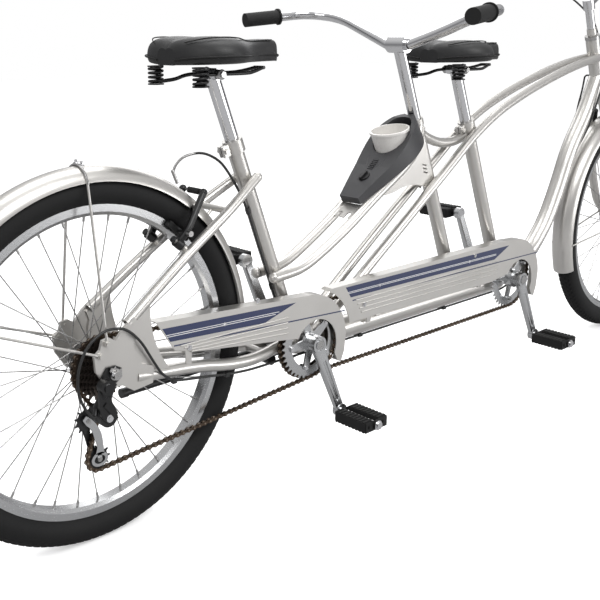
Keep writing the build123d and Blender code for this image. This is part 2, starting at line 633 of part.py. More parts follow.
with BuildPart() as stoker_chainrings:
    ring(STOKER_BB, DRIVE_Y)
    ring(STOKER_BB, TIMING_Y)
    spider(STOKER_BB, DRIVE_Y, -RING_T / 2 + 0.1)
done(stoker_chainrings, "stoker_chainrings")

with BuildPart() as captain_chainring:
    ring(CAPTAIN_BB, TIMING_Y)
    spider(CAPTAIN_BB, TIMING_Y, -RING_T / 2 + 0.1)
done(captain_chainring, "captain_chainring")

BEARING_W = 9.0
with BuildPart() as bearing_cups:
    for bb in (STOKER_BB, CAPTAIN_BB):
        for side in (-1, 1):
            edge = side * BB_SHELL_W / 2
            disc(bb.X, bb.Z, edge - side * BEARING_W, edge, BB_SHELL_BORE_R)
            disc(bb.X, bb.Z, edge, edge + side * 3, BB_SHELL_R - 1)
            disc(bb.X, bb.Z, edge - side * (BEARING_W + 1), edge + side * 4, SPINDLE_R + 0.06, mode=Mode.SUBTRACT)
    rod(HEAD_TOP, HEAD_TOP + HEAD_DIR * 10, HEAD_R + 1)
    rod(HEAD_TOP - HEAD_DIR, HEAD_TOP + HEAD_DIR * 11, STEERER_R + 0.06, mode=Mode.SUBTRACT)
    rod(HEAD_BOTTOM, HEAD_BOTTOM - HEAD_DIR * 10, HEAD_R + 1)
    rod(HEAD_BOTTOM + HEAD_DIR, HEAD_BOTTOM - HEAD_DIR * 11, STEERER_R + 0.06, mode=Mode.SUBTRACT)
done(bearing_cups, "bearing_cups")

# ---- pedals ------------------------------------------------------------------------------
BLOCK_W = 24.0
BLOCK_H = 24.0
BLOCK_GAP = 9.0
END_PLATE = 2.0
PEDAL_IN = PEDAL_FACE + PEDAL_GAP


def pedal(bb, side):
    """Block pedal: spindle, two end plates, two ribbed blocks, dome cap and nuts."""
    eye = pedal_eye(bb, side)
    near = side * (PEDAL_IN + 9)
    far = side * (PEDAL_IN + PEDAL_LENGTH)
    disc(eye.X, eye.Z, side * (PEDAL_FACE - ARM_T), side * (PEDAL_IN + 3), 7.2)
    disc(eye.X, eye.Z, side * PEDAL_IN, far, 6.5)
    disc(eye.X, eye.Z, side * (PEDAL_IN + 3), near, 10.0)
    disc(eye.X, eye.Z, far, far + side * 5, 10.5)
    disc(eye.X, eye.Z, far + side * 5, far + side * 9, 7.5)
    centre = BLOCK_GAP + BLOCK_W / 2
    middle = (near + far) / 2
    for y in (near + side * END_PLATE / 2, far - side * END_PLATE / 2):
        with Locations((eye.X, y, eye.Z)):
            Box(2 * (BLOCK_GAP + BLOCK_W) - 2, END_PLATE, BLOCK_H - 3)
    for block in (-1, 1):
        with Locations((eye.X + block * centre, middle, eye.Z)):
            Box(BLOCK_W, abs(far - near) - 2 * END_PLATE, BLOCK_H)
        disc(eye.X + block * centre, eye.Z, far, far + side * 3, 4.0)
        for k in range(9):
            y = near + side * (END_PLATE + 6 + k * (abs(far - near) - 12) / 8)
            with Locations((eye.X + block * centre, y, eye.Z + BLOCK_H / 2), (eye.X + block * centre, y, eye.Z - BLOCK_H / 2)):
                Box(BLOCK_W + 2, 3.4, 3, mode=Mode.SUBTRACT)


for name, bb, side in (
    ("stoker_pedal_right", STOKER_BB, -1), ("stoker_pedal_left", STOKER_BB, 1),
    ("captain_pedal_right", CAPTAIN_BB, -1), ("captain_pedal_left", CAPTAIN_BB, 1),
):
    with BuildPart() as one_pedal:
        pedal(bb, side)
    done(one_pedal, name)

# ---- chains ------------------------------------------------------------------------------
RAIL_IN = 3.0              # inner face of a side rail from the chain's middle plane
RAIL_T = 1.1
RAIL_H = 8.4


def bar_between(a, b, width, height):
    """A flat bar along Y-width and radial height from a to b."""
    a, b = Vector(a), Vector(b)
    flat = Vector(b.X - a.X, 0, b.Z - a.Z).normalized()
    up = Vector(-flat.Z, 0, flat.X)
    with Locations(Plane(origin=(a + b) / 2, x_dir=(b - a), z_dir=up)):
        Box((b - a).length, width, height)


def wrap(x, z, y, teeth, start, sweep_angle):
    """Both rails around a chain wheel, from one angle on."""
    mid = pitch_radius(teeth)
    for offset in (RAIL_IN + RAIL_T, -RAIL_IN):
        with BuildSketch(side_plane(y + offset)) as rail:
            with BuildLine():
                outer = CenterArc((x, z), mid + RAIL_H / 2, start, sweep_angle)
                inner = CenterArc((x, z), mid - RAIL_H / 2, start, sweep_angle)
                Line(outer @ 0, inner @ 0)
                Line(outer @ 1, inner @ 1)
            make_face()
        extrude(rail.sketch, amount=RAIL_T)


def run(a, b, y_a, y_b):
    """A straight stretch: two rails and a pin at every second pitch."""
    for offset in (RAIL_IN + RAIL_T / 2, -RAIL_IN - RAIL_T / 2):
        bar_between((a[0], y_a + offset, a[1]), (b[0], y_b + offset, b[1]), RAIL_T, RAIL_H)
    length = hypot(b[0] - a[0], b[1] - a[1])
    first = min(42, length / 2)
    pins = int((length - 2 * first) / (4 * CHAIN_PITCH))
    for k in range(pins + 1):
        t = (first + k * (length - 2 * first) / max(pins, 1)) / length
        x = a[0] + (b[0] - a[0]) * t
        z = a[1] + (b[1] - a[1]) * t
        y = y_a + (y_b - y_a) * t
        disc(x, z, y - RAIL_IN - 0.3, y + RAIL_IN + 0.3, 3.2)


def tangent(c1, r1, c2, r2, side):
    """Touch points of a line along two circles; side says which flank, and r2 < 0 crosses over."""
    dx, dz = c2[0] - c1[0], c2[1] - c1[1]
    reach = hypot(dx, dz)
    base = atan2(dz, dx)
    swing = side * sqrt(1 - ((r1 - r2) / reach) ** 2)
    lean = (r1 - r2) / reach
    nx = cos(base) * lean - sin(base) * swing
    nz = sin(base) * lean + cos(base) * swing
    return (c1[0] + nx * r1, c1[1] + nz * r1), (c2[0] + nx * r2, c2[1] + nz * r2)


def angle_of(centre, point):
    return degrees(atan2(point[1] - centre[1], point[0] - centre[0]))


RING_PITCH_R = pitch_radius(RING_TEETH)
COG_PITCH_R = pitch_radius(COG_TEETH[0])
PULLEY_PITCH_R = pitch_radius(PULLEY_TEETH)
STOKER_C = (STOKER_BB_X, BB_Z)
CAPTAIN_C = (CAPTAIN_BB_X, BB_Z)
AXLE_C = (0.0, 0.0)

with BuildPart() as timing_chain:
    for z in (BB_Z + RING_PITCH_R, BB_Z - RING_PITCH_R):
        run((STOKER_BB_X, z), (CAPTAIN_BB_X, z), TIMING_Y, TIMING_Y)
    wrap(*STOKER_C, TIMING_Y, RING_TEETH, 90, 180)
    wrap(*CAPTAIN_C, TIMING_Y, RING_TEETH, -90, 180)
done(timing_chain, "timing_chain")

top_cog, top_ring = tangent(AXLE_C, COG_PITCH_R, STOKER_C, RING_PITCH_R, 1)
cog_out, guide_in = tangent(AXLE_C, COG_PITCH_R, GUIDE_PULLEY, -PULLEY_PITCH_R, -1)
guide_out, tension_in = tangent(GUIDE_PULLEY, PULLEY_PITCH_R, TENSION_PULLEY, -PULLEY_PITCH_R, 1)
tension_out, ring_in = tangent(TENSION_PULLEY, PULLEY_PITCH_R, STOKER_C, RING_PITCH_R, -1)


def arc_between(centre, y, teeth, first, last, anticlockwise):
    start = angle_of(centre, first)
    end = angle_of(centre, last)
    turn = (end - start) % 360 if anticlockwise else -((start - end) % 360)
    wrap(centre[0], centre[1], y, teeth, start, turn)


with BuildPart() as drive_chain:
    run(top_cog, top_ring, LOW_COG_Y, DRIVE_Y)
    arc_between(STOKER_C, DRIVE_Y, RING_TEETH, ring_in, top_ring, True)
    arc_between(AXLE_C, LOW_COG_Y, COG_TEETH[0], top_cog, cog_out, True)
    run(cog_out, guide_in, LOW_COG_Y, LOW_COG_Y)
    arc_between(GUIDE_PULLEY, PULLEY_Y, PULLEY_TEETH, guide_in, guide_out, False)
    run(guide_out, tension_in, PULLEY_Y, PULLEY_Y)
    arc_between(TENSION_PULLEY, PULLEY_Y, PULLEY_TEETH, tension_in, tension_out, True)
    run(tension_out, ring_in, PULLEY_Y, DRIVE_Y)
done(drive_chain, "drive_chain")

# ---- chain guards ------------------------------------------------------------------------
WINDOW_R = 61.0
RIB_R = 1.8


def guard_outline(bb, tail, lower_tail):
    """Side outline of a guard, from its tail along the top, round the nose and back under."""
    x, z = bb.X, bb.Z
    tip = (x + 84, z - 62)
    with BuildSketch() as face:
        with BuildLine():
            Polyline(tail[-1], (x - 60, z + 108), (x - 15, z + 105))
            ThreePointArc((x - 15, z + 105), (x + 66, z + 72), (x + 98, z))
            Polyline((x + 98, z), (x + 94, z - 38), tip, (x + 73, z - 56), (x + 58, z - 24), (x - 50, z + 20), *lower_tail)
            if len(tail) > 2:
                ThreePointArc(lower_tail[-1], tail[0], tail[1])
                Line(tail[1], tail[-1])
            else:
                Line(lower_tail[-1], tail[-1])
        make_face()
    return face.sketch


def guard(bb, outline, screws):
    """Outer wall with a top wall that reaches in over the chain; open below."""
    depth = GUARD_OUT - GUARD_IN
    extrude(Plane.XZ.offset(GUARD_IN) * outline, amount=depth)
    hollow = Plane.XZ.offset(GUARD_IN) * (Pos(-1.2, -2.2) * outline)
    extrude(hollow, amount=depth - GUARD_T, mode=Mode.SUBTRACT)
    low = Plane.XZ.offset(GUARD_IN) * (Pos(-14, -30) * outline)
    extrude(low, amount=depth - GUARD_T, mode=Mode.SUBTRACT)
    disc(bb.X, bb.Z, -GUARD_IN + 1, GUARD_T - GUARD_OUT, RING_PITCH_R + 9, mode=Mode.SUBTRACT)
    disc(bb.X + 8, bb.Z - 12.5, -GUARD_IN, -GUARD_OUT - 5, WINDOW_R, mode=Mode.SUBTRACT)
    for x, z in screws:
        disc(x, z, -GUARD_OUT + 0.5, -GUARD_OUT - 1.6, 4.0)


REAR_GUARD_TAIL = [(137, 6), (97, 68)]
REAR_GUARD_LOW = [(403, -37), (195, -9), (137, 6)]
rear_outline = guard_outline(STOKER_BB, REAR_GUARD_TAIL, REAR_GUARD_LOW)
TAB = ((170, 5), (156, -27))
with BuildPart() as chain_guard_rear:
    guard(STOKER_BB, rear_outline, ((170, 4), (338, 60)))
    for k in range(4):
        rod((150 + 8 * k, -GUARD_OUT, 12 - 9 * k * 0.6), (420, -GUARD_OUT, 8 - 11 * k), RIB_R)
    for z in (BB_Z + RING_PITCH_R, BB_Z - RING_PITCH_R):
        with Locations((STOKER_BB_X + 75, TIMING_Y + 2, z)):
            Box(90, 19, 20, mode=Mode.SUBTRACT)
    # tab to the chainstay
    with BuildSketch(side_plane(-57.5)):
        with BuildLine():
            Polyline((162, 8), (178, 8), (176, -34), (164, -34), close=True)
        make_face()
    extrude(amount=2.5)
done(chain_guard_rear, "chain_guard_rear")

NOSE = Vector(STOKER_BB_X, 0, BB_Z)
NOTCH_R = GUARD_NOSE_R + GUARD_GAP


def notch(angle):
    return (NOSE.X + NOTCH_R * cos(radians(angle)), NOSE.Z + NOTCH_R * sin(radians(angle)))


FRONT_GUARD_TAIL = [notch(40), notch(66), (notch(66)[0] + 8, 43)]
FRONT_GUARD_LOW = [(1120, -52), (700, -44), notch(10)]
front_outline = guard_outline(CAPTAIN_BB, FRONT_GUARD_TAIL, FRONT_GUARD_LOW)
with BuildPart() as chain_guard_front:
    guard(CAPTAIN_BB, front_outline, ((650, -12), (1050, 30)))
    for k in range(4):
        rod((622 + 6 * k, -GUARD_OUT, 3 - 10 * k), (1150, -GUARD_OUT, 0 - 11 * k), RIB_R)
    with Locations((STOKER_BB_X + 95, TIMING_Y + 2, BB_Z + RING_PITCH_R)):
        Box(70, 19, 20, mode=Mode.SUBTRACT)
    for x in (700, 1120):
        with Locations((x, -45, -47)):
            Box(14, 30, 2.5)
        with Locations((x, -31, -58)):
            Box(14, 2.5, 24)
done(chain_guard_front, "chain_guard_front")

# ---- fenders -----------------------------------------------------------------------------
FORWARD = Vector(HEAD_DIR.Z, 0, -HEAD_DIR.X)
FORK_BOSS = STEER_FOOT + HEAD_DIR * 233


def fender(start, span):
    """Arched strip around a wheel, from this angle on; angles grow from +X towards +Z."""
    last = radians(start + span)
    section = Plane(origin=(0, 0, 0), x_dir=(cos(last), 0, sin(last)), z_dir=(-sin(last), 0, cos(last)))
    with BuildSketch(section) as arch:
        with BuildLine():
            ThreePointArc((FENDER_EDGE_R, FENDER_HALF_W), (FENDER_R, 0), (FENDER_EDGE_R, -FENDER_HALF_W))
            Line((FENDER_EDGE_R, -FENDER_HALF_W), (FENDER_EDGE_R, FENDER_T - FENDER_HALF_W))
            ThreePointArc((FENDER_EDGE_R, FENDER_T - FENDER_HALF_W), (FENDER_R - FENDER_T, 0), (FENDER_EDGE_R, FENDER_HALF_W - FENDER_T))
            Line((FENDER_EDGE_R, FENDER_HALF_W - FENDER_T), (FENDER_EDGE_R, FENDER_HALF_W))
        make_face()
    revolve(arch.sketch, axis=Axis.Y, revolution_arc=span)


def polar(radius, angle, y=0.0):
    return Vector(radius * cos(radians(angle)), y, radius * sin(radians(angle)))


ARM_LENGTH = 108.0         # brake arms, from pivot to cable end
ARM_SWEEP_R = 13.0         # room round a brake arm's middle line, with its travel


def arm_line(base, up, out, side):
    """Pivot, elbow and top of a brake arm."""
    pivot = base + out * 28 + (0, side * BOSS_Y, 0)
    return pivot, pivot + up * 30 + (0, side * 5, 0), pivot + up * ARM_LENGTH - (0, side * 12, 0)


def arm_notches(base, up, out):
    """Cut the fender's edges back where the brake arms pass and close."""
    for side in (-1, 1):
        pivot, elbow, top = arm_line(base, up, out, side)
        rod(elbow, top + up * 10, ARM_SWEEP_R, mode=Mode.SUBTRACT)


STAY_R = 2.4
UPPER_STAY = 92.0
LOWER_STAY = 154.0
STRAP_T = 2.0
with BuildPart() as rear_fender:
    fender(-4, 206)
    arm_notches(BOSS_BASE, BRAKE_DIR, BOSS_DIR)
    for side in (-1, 1):
        for angle, eyelet in ((UPPER_STAY, EYELETS[0]), (LOWER_STAY, EYELETS[1])):
            edge = polar(FENDER_EDGE_R + 4, angle, side * (FENDER_HALF_W + 1))
            foot = Vector(eyelet[0], side * (CLAW_Y + STAY_R + 0.2), eyelet[1])
            rod(foot, edge, STAY_R)
            disc(foot.X, foot.Z, side * CLAW_Y, side * (CLAW_Y + 5), 6.0)
            disc(foot.X, foot.Z, side * (DROPOUT_IN - 1.5), side * (CLAW_Y + 7), EYELET_R - 0.05)
            disc(foot.X, foot.Z, side * (CLAW_Y + 5), side * (CLAW_Y + 8), 4.4)
done(rear_fender, "rear_fender")

FORK_END_Y = 52.0
with BuildPart() as front_fender:
    fender(42, 158)
    arm_notches(FORK_BOSS - FRONT_AXLE, HEAD_DIR, FORWARD)
    for side in (-1, 1):
        edge = polar(FENDER_EDGE_R + 2, 186, side * (FENDER_HALF_W + 1))
        foot = Vector(-16, side * (FORK_END_Y + 6), 12)
        rod(foot, edge, STAY_R)
        disc(foot.X, foot.Z, side * (FORK_END_Y + 3), side * (FORK_END_Y + 10), 5)
    tab_at = STEER_FOOT + HEAD_DIR * 386 - FRONT_AXLE
    out = tab_at.normalized()
    rod(out * (FENDER_R - 1), tab_at, 4)
with BuildPart() as front_fender_placed:
    add(front_fender.part.moved(TO_FRONT))
done(front_fender_placed, "front_fender")

# ---- fork and steering -------------------------------------------------------------------


def steer_point(t, forward=0.0, y=0.0):
    return STEER_FOOT + HEAD_DIR * t + FORWARD * forward + (0, y, 0)


CROWN_T = 390.0
BLADE_R = 11.5
FORK_LINE = [
    tuple(steer_point(CROWN_T, 0, 38)), tuple(steer_point(240, 0, 44)), tuple(steer_point(120, 3, 49)),
    tuple(steer_point(50, 14, FORK_END_Y)), tuple(FRONT_AXLE + (-10, FORK_END_Y, 16)),
]
STEERER_TOP = HEAD_LOW + HEAD_LENGTH + 30
QUILL_R = 11.0
with BuildPart() as fork:
    swept(FORK_LINE, BLADE_R)
    with Locations(FORK_LINE[0]):
        Sphere(BLADE_R + DOME_LIP)
    with BuildSketch(side_plane(FORK_END_Y + 3)):
        with Locations((FRONT_AXLE_X - 4, 4)):
            Rectangle(34, 34)
        with Locations((FRONT_AXLE_X, 0)):
            Circle(AXLE_R + 0.1, mode=Mode.SUBTRACT)
    extrude(amount=6)
    rod(FORK_BOSS + (0, BOSS_Y, 0), FORK_BOSS + FORWARD * 40 + (0, BOSS_Y, 0), BOSS_R)
    rod(FORK_BOSS + (0, BOSS_Y, 0), FORK_BOSS + FORWARD * 16 + (0, BOSS_Y, 0), 7.5)
    mirror(about=Plane.XZ)
    with Locations(Plane(origin=steer_point(CROWN_T + 2), x_dir=FORWARD, z_dir=HEAD_DIR)):
        Box(26, 82, 19)
    rod(steer_point(CROWN_T), steer_point(STEERER_TOP), STEERER_R)
    rod(steer_point(STEERER_TOP - 150), steer_point(STEERER_TOP + 1), QUILL_R + 0.3, mode=Mode.SUBTRACT)
    disc(FRONT_AXLE_X, 0, -66, 66, AXLE_R)
    for side in (-1, 1):
        hexagon((FRONT_AXLE_X, side * 57, 0), (FRONT_AXLE_X, side * 64, 0), 8.6)
        cone((FRONT_AXLE_X, side * 41, 0), (FRONT_AXLE_X, side * 49, 0), 8.5, 7.5)
done(fork, "fork")

STEM_TOP = 672.0
CLAMP = steer_point(STEM_TOP + 8, 68)
BAR_R = 11.1
BAR_CLAMP_R = 12.7
with BuildPart() as captain_stem:
    rod(steer_point(STEERER_TOP - 110), steer_point(STEM_TOP + 8), QUILL_R)
    rod(steer_point(STEM_TOP), CLAMP, 12)
    rod(steer_point(STEM_TOP - 16), steer_point(STEM_TOP + 12), 15)
    rod(CLAMP - (0, 22, 0), CLAMP + (0, 22, 0), BAR_CLAMP_R + 4.5)
    rod(CLAMP - (0, 24, 0), CLAMP + (0, 24, 0), BAR_CLAMP_R + 0.02, mode=Mode.SUBTRACT)
done(captain_stem, "captain_stem")


def bar_line(clamp, width, back, rise):
    """Half of a swept-back cruiser bar, on the riders' left."""
    x, z = clamp.X, clamp.Z
    return [
        (x, 30, z), (x + 12, 100, z + 0.35 * rise), (x + 18, 190, z + 0.85 * rise), (x - 15, 0.86 * width / 2, z + rise),
        (x - back, width / 2, z + 0.8 * rise),
    ]


def handlebar(clamp, line):
    rod(clamp - (0, 31, 0), clamp + (0, 31, 0), BAR_CLAMP_R)
    for side in (-1, 1):
        swept(mirrored_y(line, side), BAR_R, 1.8)


GRIP_LENGTH = 118.0
GRIP_WALL = 4.6


def grip(line, side, length):
    """Sleeve on the last stretch of a bar, with a flanged inner end and a closed outer end."""
    tail = Vector(*mirrored_y(line, side)[-1])
    before = Vector(*mirrored_y(line, side)[-2])
    inward = (before - tail).normalized()
    rod(tail - inward * 4, tail + inward * length, BAR_R + GRIP_WALL)
    rod(tail + inward * (length - 4), tail + inward * length, BAR_R + GRIP_WALL + 3)
    rod(tail, tail + inward * (length + 1), BAR_R + 0.02, mode=Mode.SUBTRACT)


CAPTAIN_BAR = bar_line(CLAMP, 660, 235, 92)
LEVER_AT = 0.62            # along the grip stretch, from the bar's end
bar_end = Vector(*CAPTAIN_BAR[-1])
bar_knee = Vector(*CAPTAIN_BAR[-2])
BAR_IN = (bar_knee - bar_end).normalized()
LEVER_OUT = BAR_IN.cross(Vector(0, 0, 1)).normalized()


def on_bar(distance, side):
    p = bar_end + BAR_IN * distance
    return Vector(p.X, side * p.Y, p.Z)


SHIFTER_LENGTH = 34.0
LEVER_CLAMP = GRIP_LENGTH + 14 + SHIFTER_LENGTH


def flip(v, side):
    return Vector(v.X, side * v.Y, v.Z)


def lever_pivot(side):
    """Brake levers pivot below and outside the bar, just inside the grips."""
    along = flip(BAR_IN, side)
    outward = flip(Vector(-BAR_IN.Y, BAR_IN.X, 0).normalized(), side)
    base = on_bar(LEVER_CLAMP, side)
    return base, along, outward


with BuildPart() as captain_handlebar:
    handlebar(CLAMP, CAPTAIN_BAR)
    for side in (-1, 1):
        base, along, outward = lever_pivot(side)
        rod(base - along * 7, base + along * 7, BAR_R + 4.5)
        rod(base - along * 8, base + along * 8, BAR_R - 1.0, mode=Mode.SUBTRACT)
        pivot = base + outward * 30
        rod(base + outward * (BAR_R + 2), pivot, 6.5)
        rod(pivot - (0, 0, 10), pivot + (0, 0, 10), 2.5)
        rod(pivot - (0, 0, 10), pivot - (0, 0, 7.2), 7)
        rod(pivot + (0, 0, 7.2), pivot + (0, 0, 10), 7)
        rod(base + along * 8 + outward * 24, base + along * 30 + outward * 24, 5)
        rod(base + outward * 22 + along * 2, base + along * 10 + outward * 24, 4)
        rod(pivot - (0, 0, 7.2), pivot + (0, 0, 7.2), 9, mode=Mode.SUBTRACT)
        rod(pivot - (0, 0, 10), pivot + (0, 0, 10), 2.5)
done(captain_handlebar, "captain_handlebar")

with BuildPart() as captain_grips:
    for side in (-1, 1):
        grip(CAPTAIN_BAR, side, GRIP_LENGTH)
done(captain_grips, "captain_grips")

for name, side in (("brake_lever_right", -1), ("brake_lever_left", 1)):
    with BuildPart() as lever:
        base, along, outward = lever_pivot(side)
        pivot = base + outward * 30
        blade = [pivot, pivot - along * 30 + outward * 14, pivot - along * 75 + outward * 24, pivot - along * 118 + outward * 26]
        rod(pivot - (0, 0, 6.9), pivot + (0, 0, 6.9), 7.5)
        swept([tuple(p) for p in blade], 4.6)
        tip = (blade[-1] - blade[-2]).normalized()
        rod(blade[-1] - tip * 3, blade[-1] + tip * 8, 6)
        rod(pivot - (0, 0, 8), pivot + (0, 0, 8), 2.55, mode=Mode.SUBTRACT)
    done(lever, name)

with BuildPart() as grip_shifter:
    along = flip(BAR_IN, -1)
    a = on_bar(GRIP_LENGTH + 1.5, -1)
    rod(a, a + along * SHIFTER_LENGTH, BAR_R + 6.5)
    rod(a + along * (SHIFTER_LENGTH - 8), a + along * SHIFTER_LENGTH, BAR_R + 8.5)
    rod(a - along, a + along * (SHIFTER_LENGTH + 1), BAR_R + 0.08, mode=Mode.SUBTRACT)
done(grip_shifter, "grip_shifter")

# ---- brakes ------------------------------------------------------------------------------
PAD_UP = 23.5
PAD_CLEAR = 1.6


def brake_arm(base, up, out, side, centre):
    """Arm on its boss, its pad holder and its pad against the rim's side."""
    pivot, elbow, top = arm_line(base, up, out, side)
    rod(pivot - out * 8, pivot + out * 8, 9.5)
    swept([tuple(pivot), tuple(elbow), tuple(top)], 6.6)
    with Locations(top):
        Sphere(7.4)
    pad = pivot + up * PAD_UP
    holder = Vector(pad.X, side * (RIM_W / 2 + PAD_CLEAR + 9), pad.Z)
    rod((pad.X, side * (BOSS_Y + 16), pad.Z), tuple(holder), 3.2)
    rod((pad.X, side * (BOSS_Y + 10), pad.Z), (pad.X, side * (BOSS_Y + 19), pad.Z), 5.4)
    rod(pivot - out * 30, pivot + out * 14, BOSS_R + 0.06, mode=Mode.SUBTRACT)
    rod(pivot + out * 12.5, pivot + out * 16, 6.5)
    with Locations(Plane(origin=(pad.X, side * (RIM_W / 2 + PAD_CLEAR + 5), pad.Z), x_dir=tuple(out), z_dir=(0, 1, 0))):
        Box(56, 11, 9)


for name, side in (("rear_brake_arm_right", -1), ("rear_brake_arm_left", 1)):
    with BuildPart() as one_arm:
        brake_arm(BOSS_BASE, BRAKE_DIR, BOSS_DIR, side, AXLE_C)
    done(one_arm, name)
for name, side in (("front_brake_arm_right", -1), ("front_brake_arm_left", 1)):
    with BuildPart() as one_arm:
        brake_arm(FORK_BOSS, HEAD_DIR, FORWARD, side, FRONT_AXLE)
    done(one_arm, name)

# ---- cables ------------------------------------------------------------------------------
HOUSING_R = 2.5
rear_arm_top = BOSS_BASE + BOSS_DIR * 28 + BRAKE_DIR * ARM_LENGTH
UNDER_BOOM = BOOM_Z - BOOM_R - HOUSING_R - 1.2


def beside_seat_tube(z, y):
    """Centre of a housing that lies along the back of the stoker's seat tube."""
    p = on_axis(STOKER_BB, STOKER_SEAT_DIR, z)
    return (p.X - (SEAT_TUBE_R + HOUSING_R + 1.0) / STOKER_SEAT_DIR.Z, y, z)


def front_run(y):
    """From under the boom, below the down tube, to the front of the head tube."""
    x = CAPTAIN_BB_X
    return [(x - 60, y, UNDER_BOOM), (x + 24, y, UNDER_BOOM), (x + 72, y, -91), (x + 118, y, -68), (x + 178, y, -36), (x + 242, y, 32),
            (x + 294, y, 126), (x + 341, y, 229), (x + 372, 3.2 * y, 285), (x + 392, 4.4 * y, 345), (x + 412, 4.6 * y, 390),
            (x + 428, 5.3 * y, 428)]


BRAKE_ROUTE = [
    (rear_arm_top.X - 3, 44, rear_arm_top.Z + 8), (rear_arm_top.X - 12, 47, rear_arm_top.Z + 34), (rear_arm_top.X + 6, 40, rear_arm_top.Z + 58),
    (rear_arm_top.X + 42, 26, rear_arm_top.Z + 66), (rear_arm_top.X + 74, 10, rear_arm_top.Z + 48), (rear_arm_top.X + 96, -2, rear_arm_top.Z + 10),
    beside_seat_tube(238, -6), beside_seat_tube(180, -6.4), beside_seat_tube(110, -6), beside_seat_tube(40, -6.3), (461, -6, -32),
    (466.5, -6.2, -62), (467, -6, -84), (479, -6.1, UNDER_BOOM), (540, -6.2, UNDER_BOOM), (600, -6, UNDER_BOOM), (760, -6.2, UNDER_BOOM - 0.2), (920, -6, UNDER_BOOM + 0.2), (1080, -6.2, UNDER_BOOM),
]
with BuildPart() as rear_brake_cable:
    swept(BRAKE_ROUTE + front_run(-6.0), HOUSING_R)
    rod(BRAKE_ROUTE[0], BRAKE_ROUTE[1], HOUSING_R + 0.8)
    rod(rear_arm_top + (0, 18, 0), rear_arm_top - (0, 12, 0), 1.0)
    for z in (225, 60):
        p = Vector(*beside_seat_tube(z, -6))
        rod(p - STOKER_SEAT_DIR * 6, p + STOKER_SEAT_DIR * 6, HOUSING_R + 2)
print("brake housing radii", [round(r) for r in corner_radii(BRAKE_ROUTE + front_run(-6.0))])
done(rear_brake_cable, "rear_brake_cable")

SHIFT_ROUTE = [
    (-49, -78, -66), (-66, -79, -44), (-78, -80, -14), (-76, -80, 28), (-56, -80, 66), (-20, -80, 86), (20, -79, 80), (52, -77, 50),
    (78, -75, 6), (100, -72, -28), (130, -66, -49), (170, -60, -58), (216, -56, -66), (268, -51, -77), (330, -46, -85.5), (400, -38, -90),
    (440, -24, -97), (482, -8, UNDER_BOOM - 2), (545, 6, UNDER_BOOM - 0.3), (610, 6.2, UNDER_BOOM), (760, 6, UNDER_BOOM - 0.2), (920, 6.2, UNDER_BOOM + 0.2), (1080, 6.5, UNDER_BOOM),
]
with BuildPart() as shift_cable:
    swept(SHIFT_ROUTE + front_run(6.0), HOUSING_R)
    for x, y, z in (SHIFT_ROUTE[10], SHIFT_ROUTE[13]):
        with Locations((x, y, z)):
            Box(9, 8, 9)
    for x in (700, 1010):
        with Locations((x, 0, UNDER_BOOM)):
            Box(12, 22, 7)
print("shift housing radii", [round(r) for r in corner_radii(SHIFT_ROUTE + front_run(6.0))])
done(shift_cable, "shift_cable")

front_arm_top = FORK_BOSS + FORWARD * 28 + HEAD_DIR * ARM_LENGTH
base_r, along_r, out_r = lever_pivot(-1)
base_l, along_l, out_l = lever_pivot(1)
exit_r = base_r + along_r * 30 + out_r * 24
exit_l = base_l + along_l * 30 + out_l * 24
shift_exit = base_r + along_r * 10 - (0, 0, BAR_R + 6)
with BuildPart() as control_cables:
    top = HEAD_LOW + HEAD_LENGTH
    swept([
        tuple(exit_r), tuple(exit_r + along_r * 60 + (0, 0, 4)), tuple(steer_point(top + 70, 150, -150)), tuple(steer_point(top + 20, 150, -80)),
        tuple(steer_point(top - 50, 100, -48)), tuple(steer_point(top - 104, 52, -36)), tuple(steer_point(top - 130, 34, -34)),
    ], HOUSING_R)
    swept([
        tuple(shift_exit), tuple(shift_exit + along_r * 60 - (0, 0, 6)), tuple(steer_point(top + 40, 130, -120)), tuple(steer_point(top - 10, 126, -30)),
        tuple(steer_point(top - 60, 84, 22)), tuple(steer_point(top - 108, 50, 34)), tuple(steer_point(top - 130, 36, 34)),
    ], HOUSING_R)
    swept([
        tuple(exit_l), tuple(exit_l + along_l * 60 + (0, 0, 4)), tuple(steer_point(top + 60, 160, 140)), tuple(steer_point(top - 20, 170, 80)),
        tuple(steer_point(top - 110, 120, 56)), tuple(steer_point(364, 70, 48)), tuple(front_arm_top + (0, 44, 0) + HEAD_DIR * 22), tuple(front_arm_top + (0, 44, 0) + HEAD_DIR * 9),
    ], HOUSING_R)
    rod(front_arm_top + (0, 18, 0), front_arm_top - (0, 12, 0), 1.0)
done(control_cables, "control_cables")

# ---- seats -------------------------------------------------------------------------------
SADDLE_LENGTH = 265.0
SADDLE_WIDTH = 245.0
POST_OUT = 128.0
POST_IN = 150.0
RAIL_Y = 24.0


def seat_post(top, direction):
    """Post and the clamp that grips the saddle's rails."""
    rod(top - direction * POST_IN, top + direction * POST_OUT, POST_R)
    head = top + direction * (POST_OUT + 4)
    rod(head - (0, RAIL_Y - 4, 0), head + (0, RAIL_Y - 4, 0), 11)


def undercarriage(head):
    """Two rails and two coil-spring barrels."""
    for side in (-1, 1):
        rod(head + (0, side * (RAIL_Y - 3.9), 0), head + (0, side * (RAIL_Y + 7), 0), 9)
        swept([tuple(head + (118, side * 10, 6)), tuple(head + (60, side * RAIL_Y, 0)), tuple(head + (-30, side * RAIL_Y, 0)),
               tuple(head + (-76, side * 50, -14))], 3.5)
        spring = head + (-78, side * 66, -14)
        rod(spring - (0, 24 * side, 0), spring - (0, 0, 0), 3.5)
        rod(spring - (0, 0, 4), spring + (0, 0, 30), 16)
    rod(head + (118, -14, 6), head + (118, 14, 6), 3.5)


